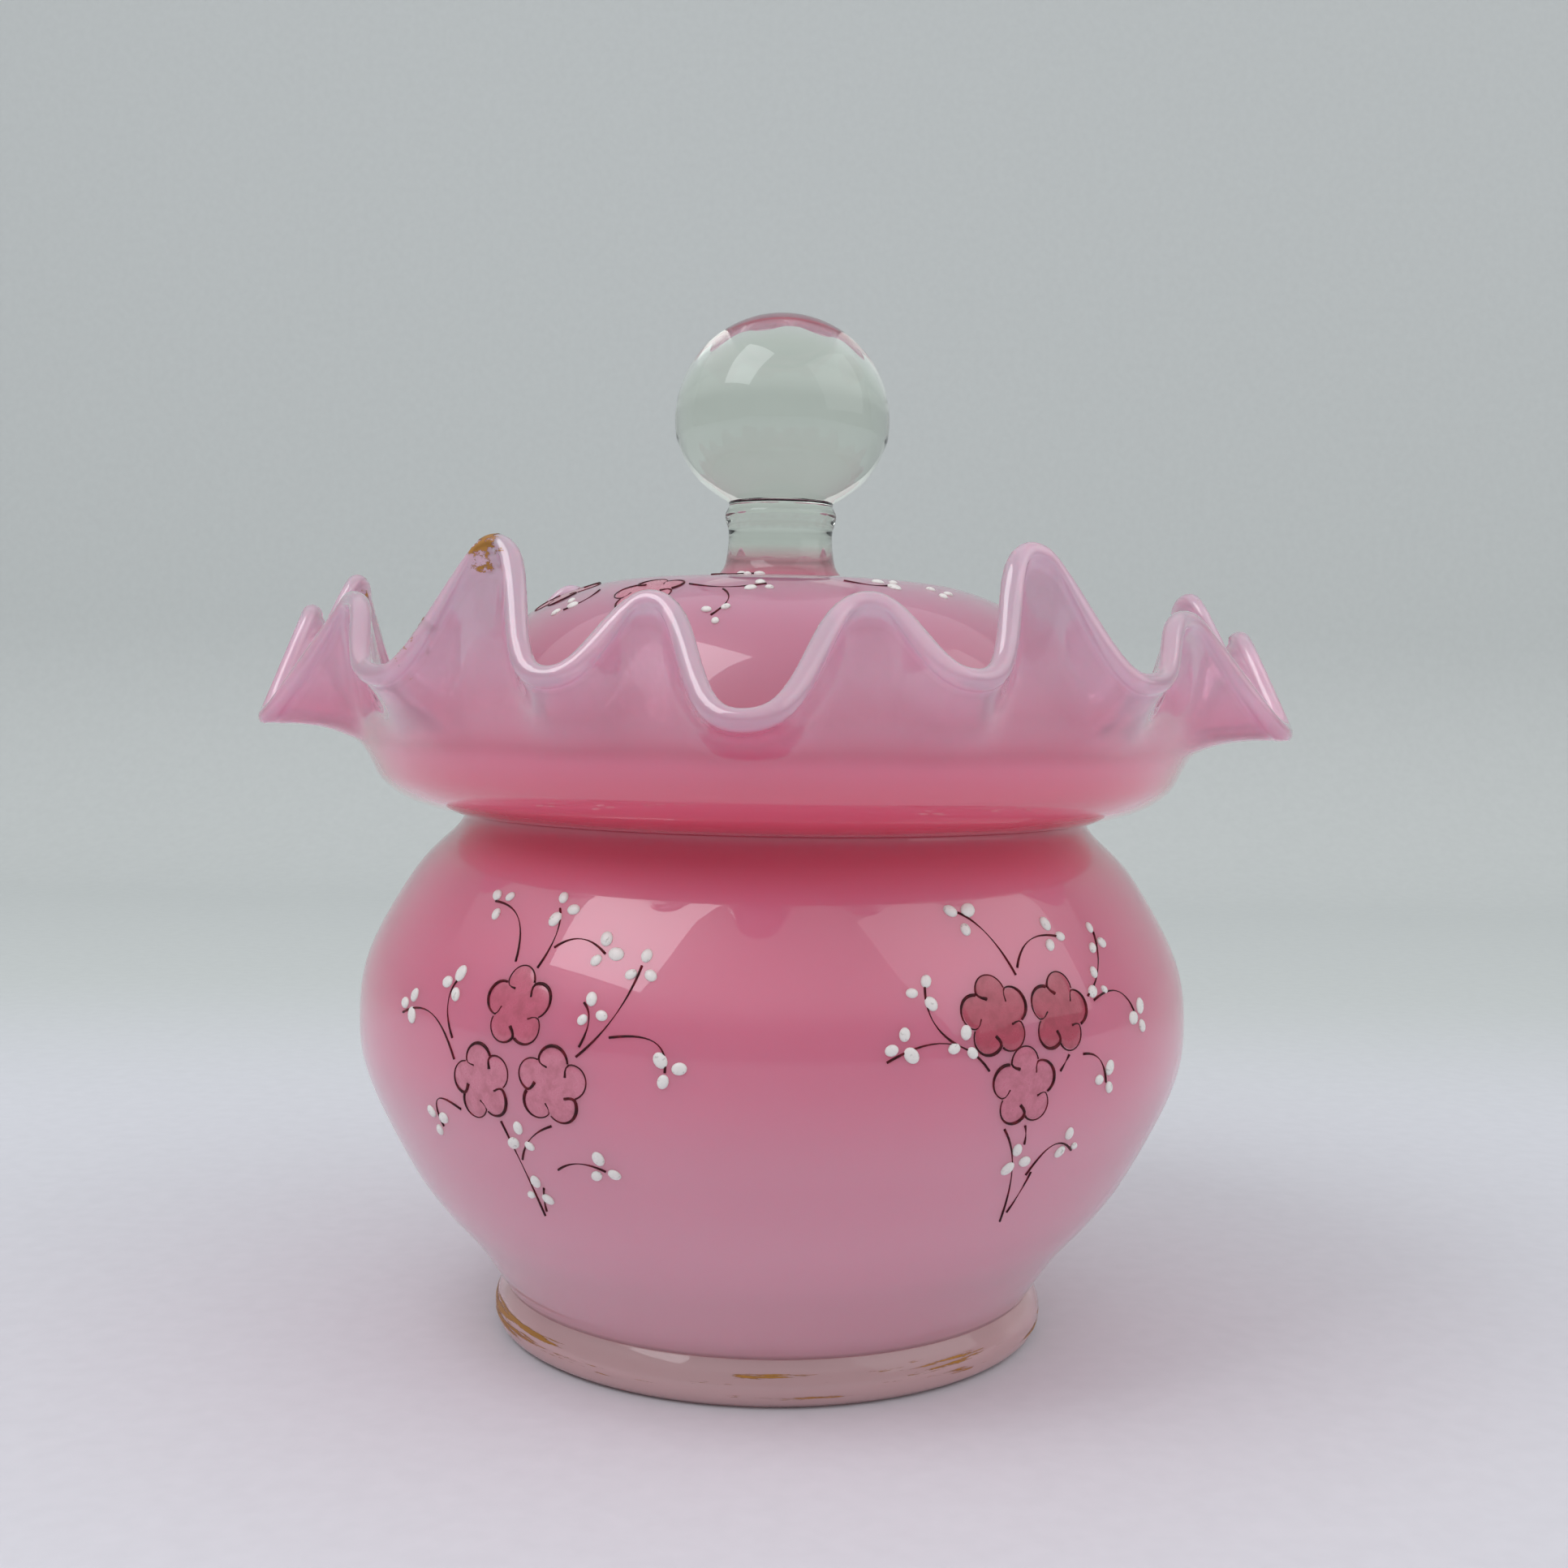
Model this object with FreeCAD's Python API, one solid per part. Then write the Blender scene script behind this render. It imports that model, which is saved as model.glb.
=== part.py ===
import FreeCAD, Part
import math
import os

Vector = FreeCAD.Vector

# A hand-blown opaline glass cream jar: a round belly on a clear foot ring, a collar that
# opens into a crimped ruffle, and a loose domed lid with a clear ball knob. The front is
# painted with sprays of enamel blossoms, and the ruffle and the foot keep worn gilding.
#
# Millimetres. The origin is on the floor under the jar's axis, +Z is up and the painted
# front faces -Y. Angles are in degrees, turned from the front towards +X.

# ---------------------------------------------------------------- driving dimensions
FOOT_HEIGHT = 6.0
FOOT_RADIUS = 38.8
FOOT_BORE_RADIUS = 31.0
FOOT_INSET = 1.4  # the foot ring's shoulder, in from its widest
FOOT_TREAD_INSET = 1.6  # where the foot ring stands, in from its widest
BELLY_RADIUS = 58.2
NECK_RADIUS = 44.3
NECK_HEIGHT = 71.5
WALL = 3.0
BASE_THICKNESS = 4.5
KICK_HEIGHT = 2.0
COLLAR_RADIUS = 58.2
RUFFLE_WALL = 2.6
RUFFLE_BEAD = 3.0
LID_RISE = 29.2
LID_WALL = 3.0
SEAT_GAP = 0.3
SHELF_RISE = 4.2  # the shelf's height above the neck under the lid's rim
STEM_RADIUS = 7.6
STEM_SPREAD = 1.8  # how far the stem spreads on the lid
STEM_LENGTH = 11.0
KNOB_RADIUS = 15.5
BALL_RISE = 0.76  # the ball's middle above the stem, as a share of its radius

# Thin layers laid on the glass.
LINE_THICKNESS = 0.15
WASH_THICKNESS = 0.06
GILDING_THICKNESS = 0.08

# ---------------------------------------------------------------- derived sizes
BELLY_START_RADIUS = FOOT_RADIUS - FOOT_INSET
THROAT_RADIUS = NECK_RADIUS - WALL
COLLAR_INNER_RADIUS = COLLAR_RADIUS - WALL
LID_RADIUS = (THROAT_RADIUS + COLLAR_INNER_RADIUS) / 2
SEAT_HEIGHT = NECK_HEIGHT + SHELF_RISE + SEAT_GAP
LID_TOP = SEAT_HEIGHT + LID_RISE
STEM_FOOT_RADIUS = STEM_RADIUS + STEM_SPREAD
KNOB_CENTRE = LID_TOP + STEM_LENGTH + BALL_RISE * KNOB_RADIUS

# The belly's outline: (share of the height, share of the bulge), from the foot to the neck.
BELLY_SHAPE = (
    (0.0, 0.0), (0.10, 0.19), (0.19, 0.43), (0.28, 0.63), (0.45, 0.92),
    (0.57, 1.0), (0.71, 0.92), (0.88, 0.50), (0.97, 0.08), (1.0, 0.0),
)

# The collar's two skins: (share of the way from the neck to the collar, height above it).
COLLAR_OUTSIDE = ((0.0, 0.0), (0.09, 0.15), (0.30, 0.8), (0.54, 1.9), (0.70, 3.1), (0.85, 5.0), (0.95, 7.6))
COLLAR_INSIDE = ((1.0, 9.5), (0.83, 6.9), (0.67, 5.5), (0.40, 4.1), (0.15, 2.8), (0.0, 1.3), (0.0, 0.0))
RUFFLE_ROOT_RISE = 9.1  # where the ruffle leaves the collar, above the neck
RUFFLE_BEND = (2.6, 4.2)  # (out, up) from the root, where the ruffle turns to its fold
RUFFLE_STEPS = (0.22, 0.45, 0.68, 0.86, 1.0)
COLLAR_STATIONS = 240  # sections round the jar

# The lid's outline: (share of the reach, share of the fall), from the rim to the knob's seat.
LID_SHAPE = (
    (1.0, 0.93), (0.98, 0.84), (0.92, 0.62), (0.82, 0.38), (0.66, 0.18), (0.45, 0.055),
    (0.22, 0.012), (0.0, 0.0),
)

# The knob's outline: (beyond the stem's radius, share of the stem's length) up to the two
# tooled rings, then (share out, share up) of the ball's radius from its middle.
STEM_SHAPE = ((0.5, 0.145), (0.0, 0.364), (-0.1, 0.6), (0.35, 0.76), (0.4, 0.85), (-0.1, 0.95))
KNOB_TAPER = ((0.50, -BALL_RISE), (0.60, -0.69), (0.77, -0.555), (0.90, -0.375))
BALL_ANGLES = (-10.0, 40.0, 90.0)  # the ball's start, middle and crown, up from level

# The gold that is left: (start, end) of each strip on the ruffle's edge, and (start, sweep)
# of each band on the foot ring.
RIM_GILDING = ((-40.0, -29.0), (-66.0, -59.0), (22.0, 33.0), (84.0, 92.0), (98.0, 106.0), (-108.0, -98.0))
FOOT_GILDING = ((-26.0, 30.0), (14.0, 16.0), (-58.0, 14.0), (70.0, 20.0), (140.0, 34.0), (215.0, 18.0))
GILDING_SPREAD = (25.0, 70.0)  # how far a strip lies round the edge's bead, at its ends and its middle
GILDING_DEPTH = 0.6  # the strip's under side, as a share of the bead's radius

# The ruffle's edge, fold by fold: (angle, reach beyond the collar, rise above the neck).
# Outward folds dip low and reach far; the crests between them stand up.
FOLDS = (
    (-3, 12.8, 14.5), (10, 1.3, 29.0), (20, 8.5, 20.0), (30, 0.8, 35.5),
    (42, 8.0, 20.0), (56, 3.8, 28.5), (71, 13.8, 13.0), (85, 7.8, 27.0),
    (94, 12.0, 19.0), (104, 6.8, 33.5), (116, 11.0, 19.0), (127, 1.8, 29.5),
    (138, 11.8, 15.5), (150, 1.8, 34.5), (162, 10.0, 19.5), (173, 1.8, 29.5),
    (184, 12.8, 14.5), (195, 1.8, 30.0), (206, 10.0, 20.0), (217, 0.8, 35.0),
    (228, 10.5, 19.5), (239, 2.8, 29.0), (250, 11.8, 15.5), (260, 6.8, 34.0),
    (269, 12.0, 19.0), (277, 8.3, 28.5), (287, 14.0, 13.0), (297, 3.8, 29.5),
    (314, 8.5, 19.5), (326, 1.3, 35.5), (337, 8.5, 19.5), (346, 1.3, 28.8),
)
FOLD_ROUNDING = 0.35  # above 0, the folds' crests and dips are rounder and their flanks steeper

# ---------------------------------------------------------------- painted sprays
# A spray is drawn flat in millimetres about its own middle: (across, up) on the belly.
# Blossoms are (across, up, turn); stems are (start, bend, end); dots are in threes, each
# three given by its middle and turn.
BLOSSOM_RADIUS = 4.7
PETAL_RADIUS = 1.97
PETALS = 5
SPRAY_RISE = 0.626  # the belly sprays' middle, as a share of the belly's height
SPRAY_HEIGHT = FOOT_HEIGHT + SPRAY_RISE * (NECK_HEIGHT - FOOT_HEIGHT)
BELLY_SPRAYS = {
    "left": {
        "angle": -31.0,
        "blossoms": ((-0.5, 4.2, 92), (-5.2, -5.0, 102), (5.3, -4.2, 85)),
        "stems": (
            ((-2.5, 9.2), (-3.0, 15.5), (-9.5, 15.5)),
            ((1.0, 8.8), (3.0, 13.0), (1.2, 15.5)),
            ((2.45, 11.2), (5.5, 13.7), (9.5, 11.0)),
            ((8.5, -0.5), (14.0, 4.0), (14.5, 10.0)),
            ((8.8, 0.65), (10.6, 4.0), (8.6, 5.6)),
            ((12.5, 2.0), (20.0, 3.5), (19.5, -1.5)),
            ((-10.0, -3.0), (-14.0, 4.5), (-22.0, 1.0)),
            ((-10.5, -0.5), (-13.5, 4.0), (-11.0, 6.5)),
            ((-9.2, -9.0), (-16.0, -6.5), (-13.6, -12.0)),
            ((-2.5, -9.4), (-0.5, -14.0), (0.0, -21.5)),
            ((5.0, -9.0), (1.0, -10.5), (-0.5, -14.0)),
            ((4.5, -14.6), (7.5, -12.5), (11.0, -14.0)),
            ((1.4, -17.5), (0.7, -19.0), (0.5, -20.8)),
        ),
        "dots": (
            (-8.5, 15.5, 30), (1.8, 15.5, 0), (9.5, 11.3, -10), (14.7, 9.7, 90),
            (9.8, 4.7, 105), (19.8, -1.2, 10), (-20.3, 2.2, 60), (-11.7, 5.8, 60),
            (-14.5, -11.3, 20), (0.0, -11.3, 90), (10.7, -13.8, 100), (0.3, -18.2, 85),
        ),
    },
    "right": {
        "angle": 30.5,
        "blossoms": ((-3.0, 4.5, 95), (6.7, 4.2, 80), (0.5, -3.8, 92)),
        "stems": (
            ((1.0, 8.8), (-1.0, 14.5), (-4.5, 16.0)),
            ((1.5, 9.6), (4.0, 14.0), (10.0, 12.5)),
            ((12.0, 5.6), (16.5, 8.0), (17.0, 12.5)),
            ((13.0, 5.0), (20.0, 7.5), (22.0, 1.5)),
            ((-8.5, 1.5), (-13.0, 4.0), (-11.5, 8.5)),
            ((-4.6, -1.6), (-9.0, 4.5), (-17.5, 0.0)),
            ((10.0, -1.0), (14.0, -1.0), (14.5, -5.0)),
            ((7.5, -0.8), (7.0, -1.5), (6.0, -2.6)),
            ((-2.0, -8.7), (1.5, -13.0), (2.0, -21.5)),
            ((1.0, -8.6), (1.5, -9.5), (1.5, -11.0)),
            ((4.0, -15.0), (3.5, -18.0), (2.5, -20.3)),
            ((3.3, -15.3), (6.0, -9.5), (10.0, -13.0)),
        ),
        "dots": (
            (-4.2, 15.5, 30), (8.7, 12.8, -10), (16.7, 11.7, -20), (14.3, 6.7, 90),
            (22.5, 2.0, 60), (-12.0, 7.5, 60), (-15.5, 1.7, 75), (-7.8, 1.6, 75),
            (14.5, -4.5, 60), (9.0, -12.0, 100), (1.0, -13.0, 105),
        ),
    },
}
# The lid's spray is drawn seen from above, in millimetres about the jar's axis.
LID_SPRAY = {
    "blossoms": ((-17.0, -26.5, 80), (-29.0, -11.5, 40)),
    "stems": (
        ((-11.6, -27.1), (-7.0, -31.5), (-1.6, -29.2)),
        ((-7.1, -30.5), (-5.0, -34.0), (-8.4, -36.2)),
        ((-24.0, -19.5), (-25.0, -23.5), (-28.5, -22.0)),
        ((8.5, -25.5), (12.5, -27.0), (15.0, -24.0)),
        ((-9.0, -21.0), (-6.5, -18.0), (-3.0, -18.5)),
    ),
    "dots": (
        (-2.4, -29.9, 90), (-7.8, -35.8, 30), (-28.2, -21.0, 70), (14.4, -23.6, 60),
        (-4.0, -18.8, 20), (21.5, -21.5, 40),
    ),
}
DOT_RING_RADIUS = 1.4  # how far each dot of a three lies from its middle
DOT_RADIUS = 0.85
DOT_HEIGHT = 0.35
DOT_SPHERE_RADIUS = (DOT_RADIUS ** 2 + DOT_HEIGHT ** 2) / (2 * DOT_HEIGHT)

DOT_LAYER = 1.0  # only what a dot's sphere has within this of the glass is kept

# Brush work: the angle round a petal that its line covers, and the narrow and wide of a line.
PETAL_LINE_START = -80.0
PETAL_LINE_SWEEP = 192.0
PETAL_LINE_WIDTHS = (0.28, 0.44)
STEM_LINE_WIDTHS = (0.24, 0.42)
SPRAY_SWEEP = 80.0  # how far round the belly one spray may reach
STAND_OFF = 5.0  # flat shapes are drawn this far from the glass before they are pressed on


# ---------------------------------------------------------------- helpers
def polar(angle, radius, height):
    """A point at an angle from the front."""
    turn = math.radians(angle)
    return Vector(radius * math.sin(turn), -radius * math.cos(turn), height)


def between(pair, share):
    """The value a share of the way from the first of a pair to the second."""
    return pair[0] + (pair[1] - pair[0]) * share


def spline(points):
    """A smooth curve through the points."""
    curve = Part.BSplineCurve()
    curve.interpolate(points)
    return curve.toShape()


def line(start, end):
    """A straight edge."""
    return Part.LineSegment(start, end).toShape()


def on_section(points):
    """Points of the +X half section from (radius, height) pairs."""
    return [Vector(radius, 0, height) for radius, height in points]


def offset_pairs(points, distance):
    """(radius, height) pairs moved sideways, to the right of their direction of travel."""
    moved = []
    for index, (radius, height) in enumerate(points):
        before = points[max(index - 1, 0)]
        after = points[min(index + 1, len(points) - 1)]
        along = (after[0] - before[0], after[1] - before[1])
        length = math.hypot(along[0], along[1])
        moved.append((radius + distance * along[1] / length, height - distance * along[0] / length))
    return moved


def turned(edges, sweep=360.0, start=0.0):
    """A solid turned about the axis from a closed half section."""
    face = Part.Face(Part.Wire(Part.__sortEdges__(edges)))
    face.rotate(Vector(), Vector(0, 0, 1), start)
    return face.revolve(Vector(), Vector(0, 0, 1), sweep)


def save(name, shape):
    """Write one node's solid or group of solids."""
    shape.exportStep("parts/" + name + ".step")


# ---------------------------------------------------------------- glass
def belly_pairs():
    """The belly's outline, foot to neck, as (radius, height)."""
    pairs = []
    for rise, bulge in BELLY_SHAPE:
        straight = BELLY_START_RADIUS + (NECK_RADIUS - BELLY_START_RADIUS) * rise
        radius = straight + (BELLY_RADIUS - straight) * bulge
        pairs.append((radius, FOOT_HEIGHT + (NECK_HEIGHT - FOOT_HEIGHT) * rise))
    return pairs


def make_bowl():
    """The belly: a blown wall with a thicker base and a slightly pushed-up middle."""
    outside = belly_pairs()
    inside = [pair for pair in offset_pairs(outside, -WALL) if pair[1] > FOOT_HEIGHT + BASE_THICKNESS]
    inside[-1] = (THROAT_RADIUS, NECK_HEIGHT)
    floor_height = FOOT_HEIGHT + BASE_THICKNESS
    inside = [(0.0, floor_height), (0.75 * inside[0][0], floor_height + 0.3)] + inside
    base = (outside[0], (FOOT_BORE_RADIUS, FOOT_HEIGHT), (0.0, FOOT_HEIGHT + KICK_HEIGHT))
    outside = on_section(outside)
    inside = on_section(inside)
    base = on_section(base)
    edges = [
        spline(outside),
        line(outside[-1], inside[-1]),
        spline(inside),
        line(inside[0], base[2]),
        line(base[2], base[1]),
        line(base[1], base[0]),
    ]
    return turned(edges)


def foot_outline():
    """The foot ring's outer face, floor to belly, as (radius, height)."""
    return [
        (FOOT_RADIUS - FOOT_TREAD_INSET, 0.0), (FOOT_RADIUS - 0.3, 1.0), (FOOT_RADIUS, 0.45 * FOOT_HEIGHT),
        (FOOT_RADIUS - 0.5, 0.75 * FOOT_HEIGHT), (BELLY_START_RADIUS, FOOT_HEIGHT),
    ]


def make_foot_ring():
    """A trail of clear glass laid round under the belly, flattened where it stands."""
    outside = on_section(foot_outline())
    inside = on_section([
        (FOOT_BORE_RADIUS, FOOT_HEIGHT), (FOOT_BORE_RADIUS + 0.6, 0.4 * FOOT_HEIGHT),
        (FOOT_BORE_RADIUS + 2.4, 0.0),
    ])
    edges = [
        spline(outside),
        line(outside[-1], inside[0]),
        spline(inside),
        line(inside[-1], outside[0]),
    ]
    return turned(edges)


def fold_edge(angle):
    """The ruffle's edge at an angle: (radius, height), eased from fold to fold."""
    angle = (angle + 3.0) % 360.0 - 3.0
    folds = FOLDS + ((FOLDS[0][0] + 360, FOLDS[0][1], FOLDS[0][2]),)
    for before, after in zip(folds, folds[1:]):
        if before[0] <= angle <= after[0]:
            share = (angle - before[0]) / (after[0] - before[0])
            share -= FOLD_ROUNDING * math.sin(2 * math.pi * share) / (2 * math.pi)
            ease = (1 - math.cos(math.pi * share)) / 2
            reach = before[1] + (after[1] - before[1]) * ease
            rise = before[2] + (after[2] - before[2]) * ease
            return COLLAR_RADIUS + reach, NECK_HEIGHT + rise
    raise ValueError("the folds leave a gap")


def ruffle_middle(angle, share):
    """The middle of the ruffle's wall, from the collar (0) to the edge (1)."""
    edge_radius, edge_height = fold_edge(angle)
    root = (COLLAR_RADIUS - WALL / 2, NECK_HEIGHT + RUFFLE_ROOT_RISE)
    bend = (root[0] + RUFFLE_BEND[0], root[1] + RUFFLE_BEND[1])
    lean = (edge_radius - bend[0], edge_height - bend[1])
    inset = RUFFLE_BEAD / 2 / math.hypot(lean[0], lean[1])
    edge = (edge_radius - inset * lean[0], edge_height - inset * lean[1])
    rest = 1 - share
    radius = rest * rest * root[0] + 2 * rest * share * bend[0] + share * share * edge[0]
    height = rest * rest * root[1] + 2 * rest * share * bend[1] + share * share * edge[1]
    return polar(angle, radius, height)


def ruffle_frame(angle, share):
    """The wall's middle there, its outward normal and its direction towards the edge."""
    step = 0.5
    nudge = 0.02
    across = ruffle_middle(angle + step, share) - ruffle_middle(angle - step, share)
    upward = ruffle_middle(angle, share + nudge) - ruffle_middle(angle, share - nudge)
    return ruffle_middle(angle, share), across.cross(upward).normalize(), upward.normalize()


def collar_section(angle):
    """The collar's and the ruffle's wall at an angle, up the outside and down the inside."""
    width = COLLAR_RADIUS - NECK_RADIUS
    outside = [
        polar(angle, NECK_RADIUS + width * share, NECK_HEIGHT + rise) for share, rise in COLLAR_OUTSIDE]
    inside = [
        polar(angle, THROAT_RADIUS + width * share, NECK_HEIGHT + rise) for share, rise in COLLAR_INSIDE]
    skin_out = []
    skin_in = []
    for share in RUFFLE_STEPS:
        half = (RUFFLE_WALL + (RUFFLE_BEAD - RUFFLE_WALL) * share ** 3) / 2
        middle, normal, upward = ruffle_frame(angle, share)
        skin_out.append(middle + normal * half)
        skin_in.insert(0, middle - normal * half)
    bead = [
        middle + (normal + upward) * half,
        middle + upward * 1.3 * half,
        middle + (upward - normal) * half,
    ]
    return outside + skin_out + bead + skin_in + inside


def make_ruffled_collar():
    """The collar and its ruffle: one smooth wall round the jar, flat where it joins the neck."""
    rows = [collar_section(360.0 * index / COLLAR_STATIONS) for index in range(COLLAR_STATIONS)]
    count = len(rows[0])
    degree = 3
    knots_round = list(range(COLLAR_STATIONS + 1))
    knots_up = list(range(count - degree + 1))
    marks_up = [degree + 1] + [1] * (len(knots_up) - 2) + [degree + 1]
    wall = Part.BSplineSurface()
    wall.buildFromPolesMultsKnots(
        rows, [1] * len(knots_round), marks_up, knots_round, knots_up, True, False, degree, degree)
    skin = wall.toShape()
    rims = [edge for edge in skin.Edges if abs(edge.BoundBox.ZLength) < 1e-6]
    ring = Part.makeFace([Part.Wire(rim) for rim in rims], "Part::FaceMakerBullseye")
    shell = Part.Shell(skin.Faces + ring.Faces)
    shell.sewShape()
    return Part.Solid(shell)


def lid_pairs():
    """The lid's outline, from the rim to the knob's seat, as (radius, height)."""
    reach = LID_RADIUS - STEM_FOOT_RADIUS
    return [(STEM_FOOT_RADIUS + reach * share, LID_TOP - LID_RISE * fall) for share, fall in LID_SHAPE]


def make_lid_dome():
    """The lid: a thin dome with a rounded rim, open underneath."""
    outside = lid_pairs()
    inside = offset_pairs(outside, -LID_WALL)
    rim_radius, rim_height = outside[0]
    inside[0] = (rim_radius - LID_WALL, rim_height)
    inside[-1] = (inside[-1][0], LID_TOP - LID_WALL)
    outside = on_section(outside)
    inside = on_section(inside)
    rim_low = Vector(rim_radius - LID_WALL / 2, 0, SEAT_HEIGHT)
    axis_top = Vector(0, 0, LID_TOP)
    axis_low = Vector(0, 0, LID_TOP - LID_WALL)
    edges = [
        line(axis_top, outside[-1]),
        spline(outside),
        Part.Arc(outside[0], rim_low, inside[0]).toShape(),
        spline(inside),
        line(inside[-1], axis_low),
        line(axis_low, axis_top),
    ]
    return turned(edges)


def make_knob():
    """The knob: one gather of clear glass, drawn to a stem, ringed and rounded to a ball."""
    stem = [(STEM_FOOT_RADIUS, LID_TOP)]
    stem += [(STEM_RADIUS + beyond, LID_TOP + STEM_LENGTH * share) for beyond, share in STEM_SHAPE]
    taper = [(KNOB_RADIUS * out, KNOB_CENTRE + KNOB_RADIUS * rise) for out, rise in KNOB_TAPER]
    side = on_section(stem + taper)
    ball_points = []
    for angle in BALL_ANGLES:
        turn = math.radians(angle)
        height = KNOB_CENTRE + KNOB_RADIUS * math.sin(turn)
        ball_points.append(Vector(KNOB_RADIUS * math.cos(turn), 0, height))
    side.append(ball_points[0])
    crown = ball_points[-1]
    seat = Vector(0, 0, LID_TOP)
    edges = [
        spline(side),
        Part.Arc(*ball_points).toShape(),
        line(crown, seat),
        line(seat, side[0]),
    ]
    return turned(edges)


# ---------------------------------------------------------------- gilding
def make_rim_gilding():
    """Worn gold that is left on the ruffle's edge: short tapered strips over the bead."""
    strips = []
    for start, end in RIM_GILDING:
        loops = []
        steps = 8
        for index in range(steps + 1):
            angle = between((start, end), index / steps)
            middle, normal, upward = ruffle_frame(angle, 1.0)
            fullness = math.sin(math.pi * (0.08 + 0.84 * index / steps))
            spread = math.radians(between(GILDING_SPREAD, fullness))
            outer = RUFFLE_BEAD / 2 + GILDING_THICKNESS
            inner = GILDING_DEPTH * RUFFLE_BEAD / 2
            loops.append(strip_section(middle, normal, upward, spread, outer, inner))
        strips.append(Part.makeLoft(loops, True, False))
    return Part.makeCompound(strips)


def strip_section(middle, normal, upward, spread, outer, inner):
    """A crescent round the bead, from -spread to +spread about its top."""
    def around(angle, radius):
        return middle + upward * radius * math.cos(angle) + normal * radius * math.sin(angle)
    top = Part.Arc(around(-spread, outer), around(0.0, outer), around(spread, outer)).toShape()
    low = Part.Arc(around(spread, inner), around(0.0, inner), around(-spread, inner)).toShape()
    down = line(around(spread, outer), around(spread, inner))
    back = line(around(-spread, inner), around(-spread, outer))
    return Part.Wire([top, down, low, back])


def make_foot_gilding():
    """Worn gold that is left on the foot ring: low bands on parts of its outer face."""
    pairs = foot_outline()[1:4]
    outside = on_section(offset_pairs(pairs, GILDING_THICKNESS))
    inside = on_section(pairs)
    outline = spline(on_section(foot_outline()))
    low = outline.Curve.parameter(inside[0])
    high = outline.Curve.parameter(inside[-1])
    bands = []
    for start, sweep in FOOT_GILDING:
        edges = [
            outline.Curve.toShape(low, high),
            line(inside[-1], outside[-1]),
            spline(outside),
            line(outside[0], inside[0]),
        ]
        bands.append(turned(edges, sweep, start - 90.0))
    return Part.makeCompound(bands)


# ---------------------------------------------------------------- enamel
def stroke(centres, widths, place):
    """A brush stroke: a flat face along the centres, as wide as asked at each."""
    left = []
    right = []
    for index, (across, up) in enumerate(centres):
        before = centres[max(index - 1, 0)]
        after = centres[min(index + 1, len(centres) - 1)]
        along = (after[0] - before[0], after[1] - before[1])
        length = math.hypot(along[0], along[1])
        side = (-along[1] / length * widths[index] / 2, along[0] / length * widths[index] / 2)
        left.append(place(across + side[0], up + side[1]))
        right.insert(0, place(across - side[0], up - side[1]))
    edges = [spline(left), line(left[-1], right[0]), spline(right), line(right[-1], left[0])]
    return Part.Face(Part.Wire(edges))


def stem_stroke(stem, place):
    """A stem: a thin stroke that starts full, thins in the middle and ends full."""
    start, bend, end = stem
    steps = 6
    centres = []
    widths = []
    for index in range(steps + 1):
        share = index / steps
        rest = 1 - share
        centres.append(tuple(
            rest * rest * start[axis] + 2 * rest * share * bend[axis] + share * share * end[axis]
            for axis in (0, 1)))
        widths.append(between(STEM_LINE_WIDTHS, abs(math.cos(math.pi * share))))
    return stroke(centres, widths, place)


def petal_middle(blossom, petal):
    """The middle of one petal's rounded lobe, and the petal's direction in radians."""
    across, up, turn = blossom
    angle = math.radians(turn + 360.0 / PETALS * petal)
    reach = BLOSSOM_RADIUS - PETAL_RADIUS
    return (across + reach * math.cos(angle), up + reach * math.sin(angle)), angle


def petal_stroke(blossom, petal, place):
    """The line round one petal: it starts by its neighbour and hooks in towards the middle."""
    middle, angle = petal_middle(blossom, petal)
    start = math.radians(PETAL_LINE_START)
    sweep = math.radians(PETAL_LINE_SWEEP)
    steps = 8
    centres = []
    widths = []
    for index in range(steps + 1):
        around = angle + start + sweep * index / steps
        along = (PETAL_RADIUS * math.cos(around), PETAL_RADIUS * math.sin(around))
        centres.append((middle[0] + along[0], middle[1] + along[1]))
        widths.append(between(PETAL_LINE_WIDTHS, math.sin(math.pi * index / steps)))
    return stroke(centres, widths, place)


def blossom_face(blossom, place):
    """The tinted wash that fills a blossom: five round petals and a round middle."""
    discs = [(blossom[:2], PETAL_RADIUS)]
    for petal in range(PETALS):
        discs.append((petal_middle(blossom, petal)[0], PETAL_RADIUS))
    faces = []
    for middle, radius in discs:
        steps = 12
        rim = [
            place(middle[0] + radius * math.cos(2 * math.pi * index / steps),
                  middle[1] + radius * math.sin(2 * math.pi * index / steps))
            for index in range(steps)]
        curve = Part.BSplineCurve()
        curve.interpolate(rim, PeriodicFlag=True)
        faces.append(Part.Face(Part.Wire(curve.toShape())))
    return faces[0].multiFuse(faces[1:]).removeSplitter()


def dot_places(threes):
    """The place of each dot of the threes."""
    places = []
    for across, up, turn in threes:
        for corner in range(3):
            angle = math.radians(turn + 120.0 * corner)
            aside = (DOT_RING_RADIUS * math.cos(angle), DOT_RING_RADIUS * math.sin(angle))
            places.append((across + aside[0], up + aside[1]))
    return places


def coat(pairs, thickness, sweep=360.0, start=0.0):
    """A thin layer that lies on a turned surface, given its outline."""
    under = on_section(pairs)
    over = on_section(offset_pairs(pairs, thickness))
    edges = [spline(under), line(under[-1], over[-1]), spline(over), line(over[0], under[0])]
    return turned(edges, sweep, start)


def painted(faces, travel, layer):
    """Flat faces pressed along a direction on to a layer: the painted solids."""
    solids = []
    for face in faces:
        solids.extend(layer.common(face.extrude(travel)).Solids)
    return Part.makeCompound(solids)


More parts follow.
